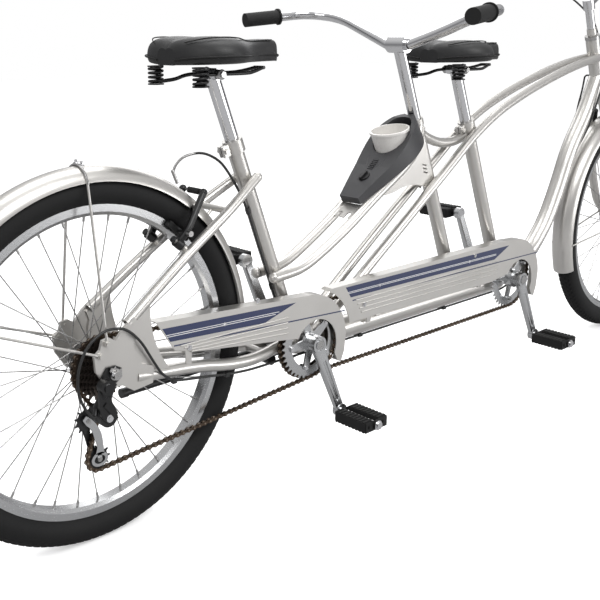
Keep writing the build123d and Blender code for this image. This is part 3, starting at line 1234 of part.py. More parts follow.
def saddle(top, direction):
    """Wide sprung saddle: rounded tail, waist and nose."""
    head = top + direction * (POST_OUT + 4)
    undercarriage(head)
    x, z = head.X - 105, head.Z + 18
    half = SADDLE_WIDTH / 2
    layers = []
    for height, inset in ((0, 7), (16, 0), (36, 5), (50, 22)):
        with BuildSketch(Plane.XY.offset(z + height)) as plan:
            with BuildLine():
                side = [
                    (x + 9 + inset, 0.6 * half), (x + 36 + inset, 0.91 * half - inset), (x + 78, half - inset),
                    (x + 124, 0.76 * half - inset), (x + 168, 0.4 * half - 0.7 * inset), (x + 214, 30 - 0.5 * inset),
                    (x + 250 - 0.4 * inset, 19 - 0.4 * inset),
                ]
                Spline((x + inset, 0), *side, (x + SADDLE_LENGTH - 0.6 * inset, 0))
                Spline((x + SADDLE_LENGTH - 0.6 * inset, 0), *[(a, -b) for a, b in reversed(side)], (x + inset, 0))
            make_face()
        layers.append(plan.sketch)
    loft(sections=layers)


for name, top, direction in (
    ("stoker", STOKER_SEAT_TOP, STOKER_SEAT_DIR), ("captain", CAPTAIN_SEAT_TOP, CAPTAIN_SEAT_DIR),
):
    with BuildPart() as post:
        seat_post(top, direction)
    done(post, f"{name}_seat_post")
    with BuildPart() as seat:
        saddle(top, direction)
    done(seat, f"{name}_saddle")

# ---- stoker's handlebar ------------------------------------------------------------------
STOKER_STEM_OUT = 178.0
STOKER_CLAMP = BAR_TOP + BAR_DIR * STOKER_STEM_OUT
STOKER_BAR = bar_line(STOKER_CLAMP, 620, 170, 70)
with BuildPart() as stoker_handlebar:
    rod(BAR_TOP - BAR_DIR * 120, STOKER_CLAMP, POST_R)
    handlebar(STOKER_CLAMP, STOKER_BAR)
    rod(STOKER_CLAMP - (0, 24, 0), STOKER_CLAMP + (0, 24, 0), BAR_CLAMP_R + 5)
done(stoker_handlebar, "stoker_handlebar")
with BuildPart() as stoker_grips:
    for side in (-1, 1):
        grip(STOKER_BAR, side, GRIP_LENGTH - 34)
done(stoker_grips, "stoker_grips")

# ---- console -----------------------------------------------------------------------------
CONSOLE_TILT = 33.0
CONSOLE_FOOT = Vector(660, 0, 216)
CONSOLE_LENGTH = 256.0
CUP_R = 43.0
CUP_BASE_R = 33.0
CUP_H = 64.0
CUP_AT = 168.0
CUP_LEAN = 12.0
CUP_GAP = 0.5
slope_dir = Vector(cos(radians(CONSOLE_TILT)), 0, sin(radians(CONSOLE_TILT)))
slope_up = Vector(-slope_dir.Z, 0, slope_dir.X)
console_plane = Plane(origin=CONSOLE_FOOT, x_dir=slope_dir, z_dir=slope_up)
cup_up = Vector(-sin(radians(CUP_LEAN)), 0, cos(radians(CUP_LEAN)))
cup_foot = CONSOLE_FOOT + slope_dir * (CUP_AT - 9) - slope_up * 17
KNOB_R = 13.0
KNOB_AT = 62.0
with BuildPart() as console_body:
    with BuildSketch(console_plane.offset(-26)) as leaf:
        with BuildLine():
            Spline((0, 27), (60, 40), (125, 53), (185, 54), (232, 36), (CONSOLE_LENGTH, 8))
            Line((CONSOLE_LENGTH, 8), (CONSOLE_LENGTH, -8))
            Spline((CONSOLE_LENGTH, -8), (232, -36), (185, -54), (125, -53), (60, -40), (0, -27))
            Line((0, -27), (0, 27))
        make_face()
    extrude(amount=62)
    # the top falls towards the tail
    side_view = Plane(origin=CONSOLE_FOOT + (0, 80, 0), x_dir=slope_dir, z_dir=(0, -1, 0))
    with BuildSketch(side_view):
        with BuildLine():
            Polyline((-10, 60), (-10, -2), (40, 4), (96, 9))
            ThreePointArc((96, 9), (140, 18), (190, 30))
            Polyline((190, 30), (236, 34), (262, 30), (262, 60), (-10, 60))
        make_face()
    extrude(amount=160, mode=Mode.SUBTRACT)
    with BuildSketch(side_view):
        with BuildLine():
            Polyline((-10, -30), (-10, -18), (70, -20), (236, -24), (262, -16), (262, -30), (-10, -30))
        make_face()
    extrude(amount=160, mode=Mode.SUBTRACT)
    # room for the tubes it sits on, and for the bar tube and its post
    for side in (-1, 1):
        swept(mirrored_y(CONSOLE_LINE, side), CONSOLE_TUBE_R + 0.1, mode=Mode.SUBTRACT)
    rod(BAR_TOP - BAR_DIR * 300, BAR_TOP + BAR_DIR * 200, SEAT_TUBE_R + 3, mode=Mode.SUBTRACT)
    with Locations((BAR_TOP.X + 60, 0, BAR_TOP.Z)):
        Box(120, 80, 160, mode=Mode.SUBTRACT)
    # cup pocket and the hollow behind it
    cone(cup_foot - cup_up * 3, cup_foot + cup_up * 90, CUP_BASE_R + CUP_GAP, CUP_BASE_R + CUP_GAP + 18, mode=Mode.SUBTRACT)
    with BuildSketch(console_plane.offset(4)):
        with Locations((206, 0)):
            Ellipse(34, 33)
    extrude(amount=60, mode=Mode.SUBTRACT)
    # recess for the knob, and the ribbed ramp between knob and cup
    knob_centre = CONSOLE_FOOT + slope_dir * KNOB_AT
    rod(knob_centre - slope_up * 6, knob_centre + slope_up * 30, KNOB_R + 0.6, mode=Mode.SUBTRACT)
    for k in range(6):
        at = CONSOLE_FOOT + slope_dir * (86 + 5 * k) + slope_up * (8.6 + 0.7 * k)
        rod(at - (0, 7, 0), at + (0, 7, 0), 1.5)
    for side in (-1, 1):
        rod(CONSOLE_FOOT + slope_dir * 92 + slope_up * 10 + (0, side * 15, 0), CONSOLE_FOOT + slope_dir * 120 + slope_up * 15 + (0, side * 26, 0), 2.2, mode=Mode.SUBTRACT)
done(console_body, "console_body")

with BuildPart() as console_cup:
    cone(cup_foot, cup_foot + cup_up * CUP_H, CUP_BASE_R - 0.5, CUP_R)
    rod(cup_foot + cup_up * (CUP_H - 5), cup_foot + cup_up * CUP_H, CUP_R + 1.5)
    cone(cup_foot + cup_up * 3, cup_foot + cup_up * (CUP_H + 1), CUP_BASE_R - 3.2, CUP_R - 2.4, mode=Mode.SUBTRACT)
done(console_cup, "console_cup")

with BuildPart() as console_knob:
    rod(knob_centre - slope_up * 5.6, knob_centre + slope_up * 8, KNOB_R)
    with Locations(Plane(origin=knob_centre + slope_up * 10, x_dir=slope_dir, z_dir=slope_up)):
        Box(24, 6, 6)
done(console_knob, "console_knob")

# ---- kickstand ---------------------------------------------------------------------------
STAND_PIVOT = Vector(424, 52, -98)
STAND_LENGTH = 318.0
STAND_R = 8.0
with BuildPart() as stand:
    foot = STAND_PIVOT + (-STAND_LENGTH, 2, -3)
    rod(STAND_PIVOT, foot, STAND_R)
    rod(foot, foot - (14, 0, 0), STAND_R + 1.5)
    rod(STAND_PIVOT + (0, 12, 0), STAND_PIVOT - (0, 22, 0), 11)
done(stand, "stand")
with BuildPart() as stand_bracket:
    with Locations((425, 6, -83)):
        Box(44, 46, 10)
    rod((STAND_PIVOT.X, 29.4, STAND_PIVOT.Z), (STAND_PIVOT.X, -12, STAND_PIVOT.Z), 10.5)
    rod((425, 0, -90), (425, 0, -68), 5)
    hexagon((425, 0, -73), (425, 0, -66), 8)
done(stand_bracket, "stand_bracket")
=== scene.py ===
import json
import math

import bpy
from mathutils import Matrix, Vector


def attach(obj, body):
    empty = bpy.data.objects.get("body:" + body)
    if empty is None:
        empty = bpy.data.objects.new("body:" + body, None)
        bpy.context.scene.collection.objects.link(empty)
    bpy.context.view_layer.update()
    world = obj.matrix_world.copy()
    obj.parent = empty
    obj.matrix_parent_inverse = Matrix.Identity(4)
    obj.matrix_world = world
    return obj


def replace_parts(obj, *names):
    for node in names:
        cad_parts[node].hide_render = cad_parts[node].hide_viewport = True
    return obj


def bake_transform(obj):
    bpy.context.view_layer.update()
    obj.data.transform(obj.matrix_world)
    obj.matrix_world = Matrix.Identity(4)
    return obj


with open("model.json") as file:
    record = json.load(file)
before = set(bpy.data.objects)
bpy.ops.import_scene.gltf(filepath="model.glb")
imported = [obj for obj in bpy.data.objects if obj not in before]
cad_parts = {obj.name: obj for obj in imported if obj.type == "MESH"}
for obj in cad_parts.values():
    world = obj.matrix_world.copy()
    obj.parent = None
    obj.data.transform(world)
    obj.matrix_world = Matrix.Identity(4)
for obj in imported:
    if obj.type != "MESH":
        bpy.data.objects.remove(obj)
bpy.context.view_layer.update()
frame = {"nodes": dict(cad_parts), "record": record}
NODES = frame["nodes"]
scene = bpy.context.scene


def mm(x, y, z):
    return Vector((x / 1000, y / 1000, z / 1000))


# ---- camera ------------------------------------------------------------------------------
YAW, PITCH, ROLL = 0.70372, -0.24376, -0.00954
view_dir = Vector((math.sin(YAW) * math.cos(PITCH), math.cos(YAW) * math.cos(PITCH), math.sin(PITCH)))
right = view_dir.cross(Vector((0, 0, 1))).normalized()
up = right.cross(view_dir)
right, up = (
    right * math.cos(ROLL) + up * math.sin(ROLL),
    up * math.cos(ROLL) - right * math.sin(ROLL),
)
cam_data = bpy.data.cameras.new("camera")
cam_data.lens = 54.94
cam_data.sensor_width = 36
cam_data.shift_x = 0.1144
cam_data.shift_y = -0.0752
cam_data.clip_start = 0.02
cam_data.clip_end = 60
camera = bpy.data.objects.new("camera", cam_data)
scene.collection.objects.link(camera)
back = -view_dir
camera.matrix_world = Matrix((
    (right.x, up.x, back.x, -0.79906),
    (right.y, up.y, back.y, -1.32543),
    (right.z, up.z, back.z, 0.57418),
    (0, 0, 0, 1),
))
scene.camera = camera

# ---- materials ---------------------------------------------------------------------------


def material(name, colour, rough, metal=0.0, **extra):
    """A Principled material whose colour, roughness and bump vary through noise in object space."""
    m = bpy.data.materials.new(name)
    m.use_nodes = True
    nt = m.node_tree
    bsdf = nt.nodes["Principled BSDF"]
    bsdf.inputs["Metallic"].default_value = metal
    for key in ("Coat Weight", "Coat Roughness", "IOR", "Sheen Weight", "Anisotropic", "Specular IOR Level"):
        if key in extra:
            bsdf.inputs[key].default_value = extra[key]
    where = nt.nodes.new("ShaderNodeTexCoord")

    def noise(scale, detail=4.0, stretch=None):
        node = nt.nodes.new("ShaderNodeTexNoise")
        node.inputs["Scale"].default_value = scale
        node.inputs["Detail"].default_value = detail
        if stretch:
            mapping = nt.nodes.new("ShaderNodeMapping")
            mapping.inputs["Scale"].default_value = stretch
            nt.links.new(where.outputs["Object"], mapping.inputs["Vector"])
            nt.links.new(mapping.outputs["Vector"], node.inputs["Vector"])
        else:
            nt.links.new(where.outputs["Object"], node.inputs["Vector"])
        return node

    tone = noise(extra.get("tone_scale", 9.0))
    ramp = nt.nodes.new("ShaderNodeValToRGB")
    spread = extra.get("spread", 0.06)
    ramp.color_ramp.elements[0].position = 0.3
    ramp.color_ramp.elements[1].position = 0.7
    ramp.color_ramp.elements[0].color = (*[c * (1 - spread) for c in colour], 1)
    ramp.color_ramp.elements[1].color = (*[min(1, c * (1 + spread)) for c in colour], 1)
    nt.links.new(tone.outputs["Fac"], ramp.inputs["Fac"])
    nt.links.new(ramp.outputs["Color"], bsdf.inputs["Base Color"])
    fine = noise(extra.get("fine_scale", 240.0), 2.0, extra.get("stretch"))
    spread_r = nt.nodes.new("ShaderNodeMapRange")
    spread_r.inputs["To Min"].default_value = rough * (1 - extra.get("rough_spread", 0.15))
    spread_r.inputs["To Max"].default_value = min(1.0, rough * (1 + extra.get("rough_spread", 0.15)))
    nt.links.new(fine.outputs["Fac"], spread_r.inputs["Value"])
    nt.links.new(spread_r.outputs["Result"], bsdf.inputs["Roughness"])
    if extra.get("bump", 0) > 0:
        bump = nt.nodes.new("ShaderNodeBump")
        bump.inputs["Strength"].default_value = extra["bump"]
        bump.inputs["Distance"].default_value = extra.get("depth", 0.0003)
        nt.links.new(fine.outputs["Fac"], bump.inputs["Height"])
        nt.links.new(bump.outputs["Normal"], bsdf.inputs["Normal"])
    return m


PAINT = material(
    "satin_silver_paint", (0.58, 0.565, 0.54), 0.33, 0.8, fine_scale=2600, bump=0.05, depth=0.00005,
    spread=0.03, **{"Coat Weight": 0.45, "Coat Roughness": 0.12},
)
CHROME = material("chrome", (0.66, 0.66, 0.67), 0.08, 1.0, spread=0.02)
ALLOY = material("polished_alloy", (0.54, 0.545, 0.55), 0.22, 1.0, fine_scale=500, spread=0.03)
RIM = material("rim_alloy", (0.55, 0.555, 0.56), 0.26, 1.0, fine_scale=400, spread=0.03)
STEEL = material("zinc_steel", (0.42, 0.415, 0.41), 0.28, 1.0, fine_scale=600, spread=0.06)
BLACK_ALLOY = material("black_alloy", (0.009, 0.009, 0.0095), 0.34, 0.2, fine_scale=900, bump=0.05)
PIN = material("worn_pin_steel", (0.3, 0.25, 0.2), 0.3, 1.0, fine_scale=420, spread=0.2)
CHAIN = material("oiled_chain", (0.1, 0.072, 0.052), 0.34, 0.9, fine_scale=420, spread=0.25, rough_spread=0.3)
COG = material("cog_steel", (0.09, 0.075, 0.066), 0.36, 0.9, fine_scale=420, spread=0.2, rough_spread=0.3)
TYRE = material(
    "tyre_rubber", (0.007, 0.007, 0.0072), 0.7, fine_scale=700, bump=0.12, depth=0.0004, spread=0.15,
    **{"Specular IOR Level": 0.3},
)
RUBBER = material(
    "black_rubber", (0.009, 0.009, 0.009), 0.62, fine_scale=900, bump=0.12, spread=0.12,
    **{"Specular IOR Level": 0.3},
)
PLASTIC = material("black_plastic", (0.008, 0.008, 0.0085), 0.42, fine_scale=1400, bump=0.1, spread=0.1)
GREY_PLASTIC = material(
    "grey_plastic", (0.04, 0.04, 0.043), 0.42, fine_scale=1500, bump=0.16, depth=0.0003, spread=0.08
)
WHITE_PLASTIC = material("white_plastic", (0.74, 0.72, 0.69), 0.28, fine_scale=300, spread=0.02)
HOUSING = material("cable_housing", (0.012, 0.012, 0.012), 0.42, fine_scale=900, spread=0.1)
VINYL = material(
    "black_vinyl", (0.011, 0.011, 0.0115), 0.5, fine_scale=420, bump=0.35, depth=0.0006, spread=0.1
)
BLUE = material(
    "blue_band", (0.016, 0.026, 0.085), 0.34, 0.1, spread=0.05,
    **{"Coat Weight": 0.5, "Coat Roughness": 0.1},
)
WHITE_INK = material("white_pinstripe", (0.78, 0.78, 0.78), 0.4, spread=0.02)

BY_SLOT = {
    "paint": PAINT, "chrome": CHROME, "steel": STEEL, "alloy": ALLOY, "black_alloy": BLACK_ALLOY,
    "chain": COG, "tyre": TYRE, "rubber": RUBBER, "black_plastic": PLASTIC, "grey_plastic": GREY_PLASTIC,
    "white_plastic": WHITE_PLASTIC, "saddle": VINYL, "cable": HOUSING,
}


def surface(obj, *mats):
    """These materials in the object's slots; every face takes the first."""
    obj.data.materials.clear()
    for m in mats:
        obj.data.materials.append(m)
    for poly in obj.data.polygons:
        poly.material_index = 0


def repaint(obj, index, test):
    """Faces whose centre, in millimetres, passes the test take the material in this slot."""
    for poly in obj.data.polygons:
        c = poly.center
        if test(c.x * 1000, c.y * 1000, c.z * 1000, poly.normal):
            poly.material_index = index


for entry in frame["record"]["subparts"]:
    surface(NODES[entry["node"]], BY_SLOT[entry["material_slot"]])
surface(NODES["front_rim"], RIM)
surface(NODES["rear_rim"], RIM)


def smooth(obj, angle=35.0):
    for poly in obj.data.polygons:
        poly.use_smooth = True
    for edge in obj.data.edges:
        edge.use_edge_sharp = False
    obj.data.set_sharp_from_angle(angle=math.radians(angle))


for name, obj in NODES.items():
    smooth(obj)

# ---- light and floor ---------------------------------------------------------------------
world = bpy.data.worlds.new("studio")
scene.world = world
world.use_nodes = True
wt = world.node_tree
sky = wt.nodes["Background"]
where = wt.nodes.new("ShaderNodeTexCoord")
axis = wt.nodes.new("ShaderNodeSeparateXYZ")
grade = wt.nodes.new("ShaderNodeValToRGB")
grade.color_ramp.elements[0].position, grade.color_ramp.elements[0].color = 0.0, (0.26, 0.26, 0.27, 1)
grade.color_ramp.elements[1].position, grade.color_ramp.elements[1].color = 0.85, (0.85, 0.85, 0.85, 1)
wt.links.new(where.outputs["Generated"], axis.inputs[0])
wt.links.new(axis.outputs["Z"], grade.inputs["Fac"])
wt.links.new(grade.outputs["Color"], sky.inputs["Color"])
white = wt.nodes.new("ShaderNodeBackground")
white.inputs["Color"].default_value = (1, 1, 1, 1)
seen = wt.nodes.new("ShaderNodeLightPath")
either = wt.nodes.new("ShaderNodeMixShader")
wt.links.new(seen.outputs["Is Camera Ray"], either.inputs["Fac"])
wt.links.new(sky.outputs[0], either.inputs[1])
wt.links.new(white.outputs[0], either.inputs[2])
wt.links.new(either.outputs[0], wt.nodes["World Output"].inputs["Surface"])


def area(name, location, target, size, power):
    data = bpy.data.lights.new(name, "AREA")
    data.shape = "RECTANGLE"
    data.size, data.size_y = size
    data.energy = power
    obj = bpy.data.objects.new(name, data)
    obj.location = location
    obj.rotation_euler = (Vector(target) - Vector(location)).to_track_quat("-Z", "Y").to_euler()
    scene.collection.objects.link(obj)


area("key", (0.2, -2.4, 2.6), (0.7, 0, 0), (2.2, 1.2), 58)
area("fill", (-2.4, -0.6, 1.4), (0.4, 0, 0), (1.4, 2.0), 16)
area("top", (0.9, 0.6, 3.2), (0.9, 0, 0), (3.0, 1.6), 46)
area("side", (3.2, -3.4, 0.35), (0.8, 0, 0), (2.6, 1.3), 46)
area("back", (2.8, 2.4, 1.8), (0.9, 0, 0), (2.4, 1.6), 24)

floor_mesh = bpy.data.meshes.new("floor")
floor_mesh.from_pydata(
    [(-14, -14, -0.3365), (16, -14, -0.3365), (16, 14, -0.3365), (-14, 14, -0.3365)], [], [(0, 1, 2, 3)]
)
floor = bpy.data.objects.new("floor", floor_mesh)
scene.collection.objects.link(floor)
floor_mat = material("floor", (0.9, 0.9, 0.9), 0.9, spread=0.005)
ft = floor_mat.node_tree
pale = ft.nodes["Principled BSDF"]
pale.inputs["Emission Color"].default_value = (1, 1, 1, 1)
pale.inputs["Emission Strength"].default_value = 0.42
dull = ft.nodes.new("ShaderNodeBsdfDiffuse")
dull.inputs["Color"].default_value = (0.42, 0.42, 0.425, 1)
seen = ft.nodes.new("ShaderNodeLightPath")
either = ft.nodes.new("ShaderNodeMixShader")
ft.links.new(seen.outputs["Is Camera Ray"], either.inputs["Fac"])
ft.links.new(dull.outputs[0], either.inputs[1])
ft.links.new(pale.outputs[0], either.inputs[2])
ft.links.new(either.outputs[0], ft.nodes["Material Output"].inputs["Surface"])
floor_mesh.materials.append(floor_mat)
scene.view_settings.view_transform = "Standard"

# ---- builders ----------------------------------------------------------------------------


def piece(name, verts, faces, mat, body, angle=35.0):
    """A mesh from millimetre points, riding on a body."""
    mesh = bpy.data.meshes.new(name)
    mesh.from_pydata([(x / 1000, y / 1000, z / 1000) for x, y, z in verts], [], faces)
    mesh.validate()
    obj = bpy.data.objects.new(name, mesh)
    scene.collection.objects.link(obj)
    mesh.materials.append(mat)
    smooth(obj, angle)
    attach(obj, body)
    return obj


class Soup:
    """Collects points and faces of many small solids into one mesh."""

    def __init__(self):
        self.verts, self.faces = [], []

    def add(self, verts, faces):
        base = len(self.verts)
        self.verts += [tuple(v) for v in verts]
        self.faces += [tuple(i + base for i in f) for f in faces]

    def prism(self, outline, low, high, place):
        """A flat outline drawn out between two heights; place maps (u, v, height) to a point."""
        n = len(outline)
        verts = [place(u, v, low) for u, v in outline] + [place(u, v, high) for u, v in outline]
        sides = [(k, (k + 1) % n, (k + 1) % n + n, k + n) for k in range(n)]
        self.add(verts, sides + [tuple(range(n - 1, -1, -1)), tuple(range(n, 2 * n))])

    def tube(self, points, radius, sides=12, caps=True):
        """A round tube along points, with the radius given once or per point."""
        pts = [Vector(p) for p in points]
        n = len(pts)
        radii = radius if isinstance(radius, (list, tuple)) else [radius] * n
        verts, faces = [], []
        ref = None
        for k, p in enumerate(pts):
            t = (pts[min(k + 1, n - 1)] - pts[max(k - 1, 0)]).normalized()
            if ref is None:
                ref = t.orthogonal().normalized()
            ref = (ref - t * ref.dot(t)).normalized()
            other = t.cross(ref)
            for j in range(sides):
                a = 2 * math.pi * j / sides
                verts.append(p + (ref * math.cos(a) + other * math.sin(a)) * radii[k])
        for k in range(n - 1):
            for j in range(sides):
                i = (j + 1) % sides
                faces.append((k * sides + j, k * sides + i, (k + 1) * sides + i, (k + 1) * sides + j))
        if caps:
            faces.append(tuple(range(sides - 1, -1, -1)))
            faces.append(tuple(range((n - 1) * sides, n * sides)))
        self.add(verts, faces)

    def make(self, name, mat, body, angle=35.0):
        return piece(name, self.verts, self.faces, mat, body, angle)


def round_outline(x, z, radius, sides=28):
    """Corners of a round or many-sided outline."""
    angles = [2 * math.pi * k / sides for k in range(sides)]
    return [(x + radius * math.cos(a), z + radius * math.sin(a)) for a in angles]


def curve_points(points, count):
    """Points of a smooth Catmull-Rom line through these."""
    pts = [Vector(p) for p in points]
    pts = [2 * pts[0] - pts[1]] + pts + [2 * pts[-1] - pts[-2]]
    out = []
    for k in range(1, len(pts) - 2):
        for j in range(count):
            t = j / count
            a, b, c, d = pts[k - 1:k + 3]
            square = 2 * a - 5 * b + 4 * c - d
            cube = 3 * b - a - 3 * c + d
            out.append(0.5 * ((2 * b) + (c - a) * t + square * t * t + cube * t ** 3))
    out.append(pts[-2])
    return out


# ---- sizes shared with the CAD model, in millimetres -------------------------------------
PITCH = 12.7
BB_Z = -63.5
STOKER = (495.0, BB_Z)
CAPTAIN = (1241.5, BB_Z)
RING = PITCH / (2 * math.sin(math.pi / 38))
COG28 = PITCH / (2 * math.sin(math.pi / 28))
PULLEY = PITCH / (2 * math.sin(math.pi / 11))
GUIDE, TENSION = (-34.0, -90.0), (-15.0, -168.0)
DRIVE_Y, TIMING_Y, LOW_COG_Y = -51.5, -41.5, -29.0
FRONT_X = 1890
CRANK, CRANK_ANGLE = 170, -69.3
RING_BOLT_R = 55.0
FENDER_ARCH_R = 320.5      # from the axle to the middle of the fender's arched section
CAGE_PIVOT = (-21, -72)

# ---- chains ------------------------------------------------------------------------------
LINK_END_R, LINK_WAIST, LINK_T = 4.2, 2.1, 0.95
INNER_LINK_Y, OUTER_LINK_Y = 1.75, 2.75
ROLLER_R, ROLLER_HALF = 3.85, 1.6
PIN_R, PIN_HALF = 1.8, 4.3


def tangent(c1, r1, c2, r2, side):
    """Touch points of a line on two circles; a negative second radius crosses over."""
    dx, dz = c2[0] - c1[0], c2[1] - c1[1]
    reach, base = math.hypot(dx, dz), math.atan2(dz, dx)
    lean = (r1 - r2) / reach
    swing = side * math.sqrt(1 - lean ** 2)
    nx = math.cos(base) * lean - math.sin(base) * swing
    nz = math.sin(base) * lean + math.cos(base) * swing
    return (c1[0] + nx * r1, c1[1] + nz * r1), (c2[0] + nx * r2, c2[1] + nz * r2)


def arc(centre, radius, start, end, turn, y):
    """Points from one touch point round to another; turn is +1 from +X towards +Z."""
    a = math.atan2(start[1] - centre[1], start[0] - centre[0])
    b = math.atan2(end[1] - centre[1], end[0] - centre[0])
    span = (b - a) % (2 * math.pi) if turn > 0 else -((a - b) % (2 * math.pi))
    steps = max(4, int(abs(span) / math.radians(3)))
    angles = [a + span * k / steps for k in range(steps + 1)]
    return [(centre[0] + radius * math.cos(t), y, centre[1] + radius * math.sin(t)) for t in angles]


def chain(name, path):
    """A roller chain along a closed line: alternate inner and outer links, rollers and pins."""
    pts = [Vector(p) for p in path] + [Vector(path[0])]
    marks = [0.0]
    for a, b in zip(pts, pts[1:]):
        marks.append(marks[-1] + (b - a).length)
    count = round(marks[-1] / PITCH / 2) * 2

    def at(s):
        s %= marks[-1]
        low, high = 0, len(marks) - 1
        while high - low > 1:
            mid = (low + high) // 2
            if marks[mid] <= s:
                low = mid
            else:
                high = mid
        t = (s - marks[low]) / max(marks[high] - marks[low], 1e-9)
        return pts[low].lerp(pts[high], t)

    pins = [at(marks[-1] * k / count) for k in range(count)]
    plate = []
    for centre, turn in ((PITCH / 2, 0), (-PITCH / 2, math.pi)):
        for k in range(-6, 7):
            a = math.radians(18 * k)
            plate.append((centre + LINK_END_R * math.cos(turn + a), LINK_END_R * math.sin(turn + a)))
        plate.append((0, LINK_WAIST if turn == 0 else -LINK_WAIST))
    plates, rollers = Soup(), Soup()
    for k in range(count):
        a, b = pins[k], pins[(k + 1) % count]
        mid, along = (a + b) / 2, (b - a).normalized()
        side = Vector((0, -1, 0))
        side = (side - along * side.dot(along)).normalized()
        lift = along.cross(side)
        place = lambda u, v, h: mid + along * u + lift * v + side * h
        inner = INNER_LINK_Y if k % 2 else OUTER_LINK_Y
        for sign in (-1, 1):
            low, high = sorted((sign * inner, sign * (inner + LINK_T)))
            plates.prism(plate, low, high, place)
        ring = [(math.cos(2 * math.pi * j / 12), math.sin(2 * math.pi * j / 12)) for j in range(12)]
        for radius, half in ((ROLLER_R, ROLLER_HALF), (PIN_R, PIN_HALF)):
            rollers.prism([(u * radius - PITCH / 2, v * radius) for u, v in ring], -half, half, place)
    links = plates.make(name + "_plates", CHAIN, "frame", 40)
    rollers.make(name + "_rollers", PIN, "frame", 40)
    return links


top_cog, top_ring = tangent((0, 0), COG28, STOKER, RING, 1)
cog_out, guide_in = tangent((0, 0), COG28, GUIDE, -PULLEY, -1)
guide_out, tension_in = tangent(GUIDE, PULLEY, TENSION, -PULLEY, 1)
tension_out, ring_in = tangent(TENSION, PULLEY, STOKER, RING, -1)
drive_path = arc((0, 0), COG28, top_cog, cog_out, 1, LOW_COG_Y)
drive_path += arc(GUIDE, PULLEY, guide_in, guide_out, -1, LOW_COG_Y)
drive_path += arc(TENSION, PULLEY, tension_in, tension_out, 1, LOW_COG_Y)
drive_path += arc(STOKER, RING, ring_in, top_ring, 1, DRIVE_Y)
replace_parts(chain("drive_chain_links", drive_path), "drive_chain")
high, low = (0, BB_Z + RING), (0, BB_Z - RING)
timing_path = arc(STOKER, RING, (STOKER[0], high[1]), (STOKER[0], low[1]), 1, TIMING_Y)
timing_path += arc(CAPTAIN, RING, (CAPTAIN[0], low[1]), (CAPTAIN[0], high[1]), 1, TIMING_Y)
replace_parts(chain("timing_chain_links", timing_path), "timing_chain")

# ---- tyres' tread ------------------------------------------------------------------------


def tread(name, centre_x, body):
    """Rows of slanted blocks; each row has its lean from the tyre's middle and its shift."""
    soup = Soup()
    rows = ((11, 0.0), (27, 0.5), (43, 0.0), (-11, 0.5), (-27, 0.0), (-43, 0.5))
    count = 132
    for lean, shift in rows:
        p = math.radians(lean)
        for k in range(count):
            a = 2 * math.pi * (k + shift) / count
            r_low, y_low = 309 + 26.7 * math.cos(p), 26.7 * math.sin(p)
            out = Vector((math.cos(a) * math.cos(p), math.sin(p), math.sin(a) * math.cos(p)))
            along = Vector((-math.sin(a), 0, math.cos(a)))
            across = along.cross(out)
            base = Vector((centre_x + r_low * math.cos(a), y_low, r_low * math.sin(a)))
            half_u, half_v = 5.6, 2.9
            outline = [(-half_u, -half_v), (half_u * 0.6, -half_v), (half_u, half_v), (-half_u * 0.6, half_v)]
            soup.prism(outline, -0.6, 0.95, lambda u, v, h: base + along * u + across * v + out * h)
    return soup.make(name, TYRE, body, 30)


tread("rear_tread", 0, "rear_wheel")
tread("front_tread", FRONT_X, "front_wheel")

# ---- decals on the chain guards ----------------------------------------------------------
FACE_Y = -62.0


def decal(name, outlines, mat, lift=0.3):
    """Flat outlines that stand proud of the guard's outer face."""
    soup = Soup()
    for outline in outlines:
        soup.prism(outline, 0.0, lift, lambda u, v, h: (u, FACE_Y - h, v))
    return soup.make(name, mat, "frame", 20)


def stripe(a, b, half):
    """A thin line from a to b, as an outline."""
    dx, dz = b[0] - a[0], b[1] - a[1]
    n = math.hypot(dx, dz)
    ox, oz = -dz / n * half, dx / n * half
    return [(a[0] + ox, a[1] + oz), (a[0] - ox, a[1] - oz), (b[0] - ox, b[1] - oz), (b[0] + ox, b[1] + oz)]


def sparkle(x, z, size):
    """A four-pointed star."""
    pts = []
    for k in range(8):
        r = size if k % 2 == 0 else size * 0.26
        a = math.pi / 4 * k
        pts.append((x + r * math.cos(a), z + r * math.sin(a)))
    return pts


decal("rear_band", [[(127, 25.1), (357, 10), (443, 34.4), (110, 53.2)]], BLUE)
decal("rear_band_lines", [
    stripe((118, 39.0), (396, 25.0), 0.6),
    stripe((120, 35.4), (386, 21.8), 0.6),
    sparkle(255, 30.4, 4.6),
], WHITE_INK, 0.6)
decal("rear_navy_line", [stripe((135, 15.4), (588, -12.5), 1.3)], BLUE)
decal("front_band", [[(606, 12.5), (1134, 5.0), (1196, 31.5), (590, 37.5)]], BLUE)
decal("front_band_lines", [
    stripe((596, 25.2), (1140, 18.4), 0.55),
    stripe((598, 22.4), (1140, 15.6), 0.55),
    sparkle(700, 21.6, 4.6),
    sparkle(1030, 17.6, 4.6),
], WHITE_INK, 0.6)
decal("front_navy_line", [stripe((612, 4.5), (1332, -8.4), 1.2)], BLUE)

# ---- cables across the steering ----------------------------------------------------------
for name, side in (("brake_cable_bridge", -1), ("shift_cable_bridge", 1)):
    soup = Soup()
    start = Vector((1669.5, side * 31.8, 428))
    end = Vector((1715.1, side * 34.0, 424.8))
    early = start.lerp(end, 0.35) + Vector((-3, side * 2, 5))
    late = start.lerp(end, 0.7) + Vector((0, side * 2, 5))
    soup.tube(curve_points([start, early, late, end], 6), 2.5)
    bridge = soup.make(name, HOUSING, "frame")
    bridge.parent = None
    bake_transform(bridge)

# ---- colours on parts of the CAD nodes ---------------------------------------------------


def two_tone(name, mats, rules):
    """Several materials on one CAD node; each rule is a slot and a test of place in mm."""
    obj = NODES[name]
    surface(obj, *mats)
    for index, test in rules:
        repaint(obj, index, test)


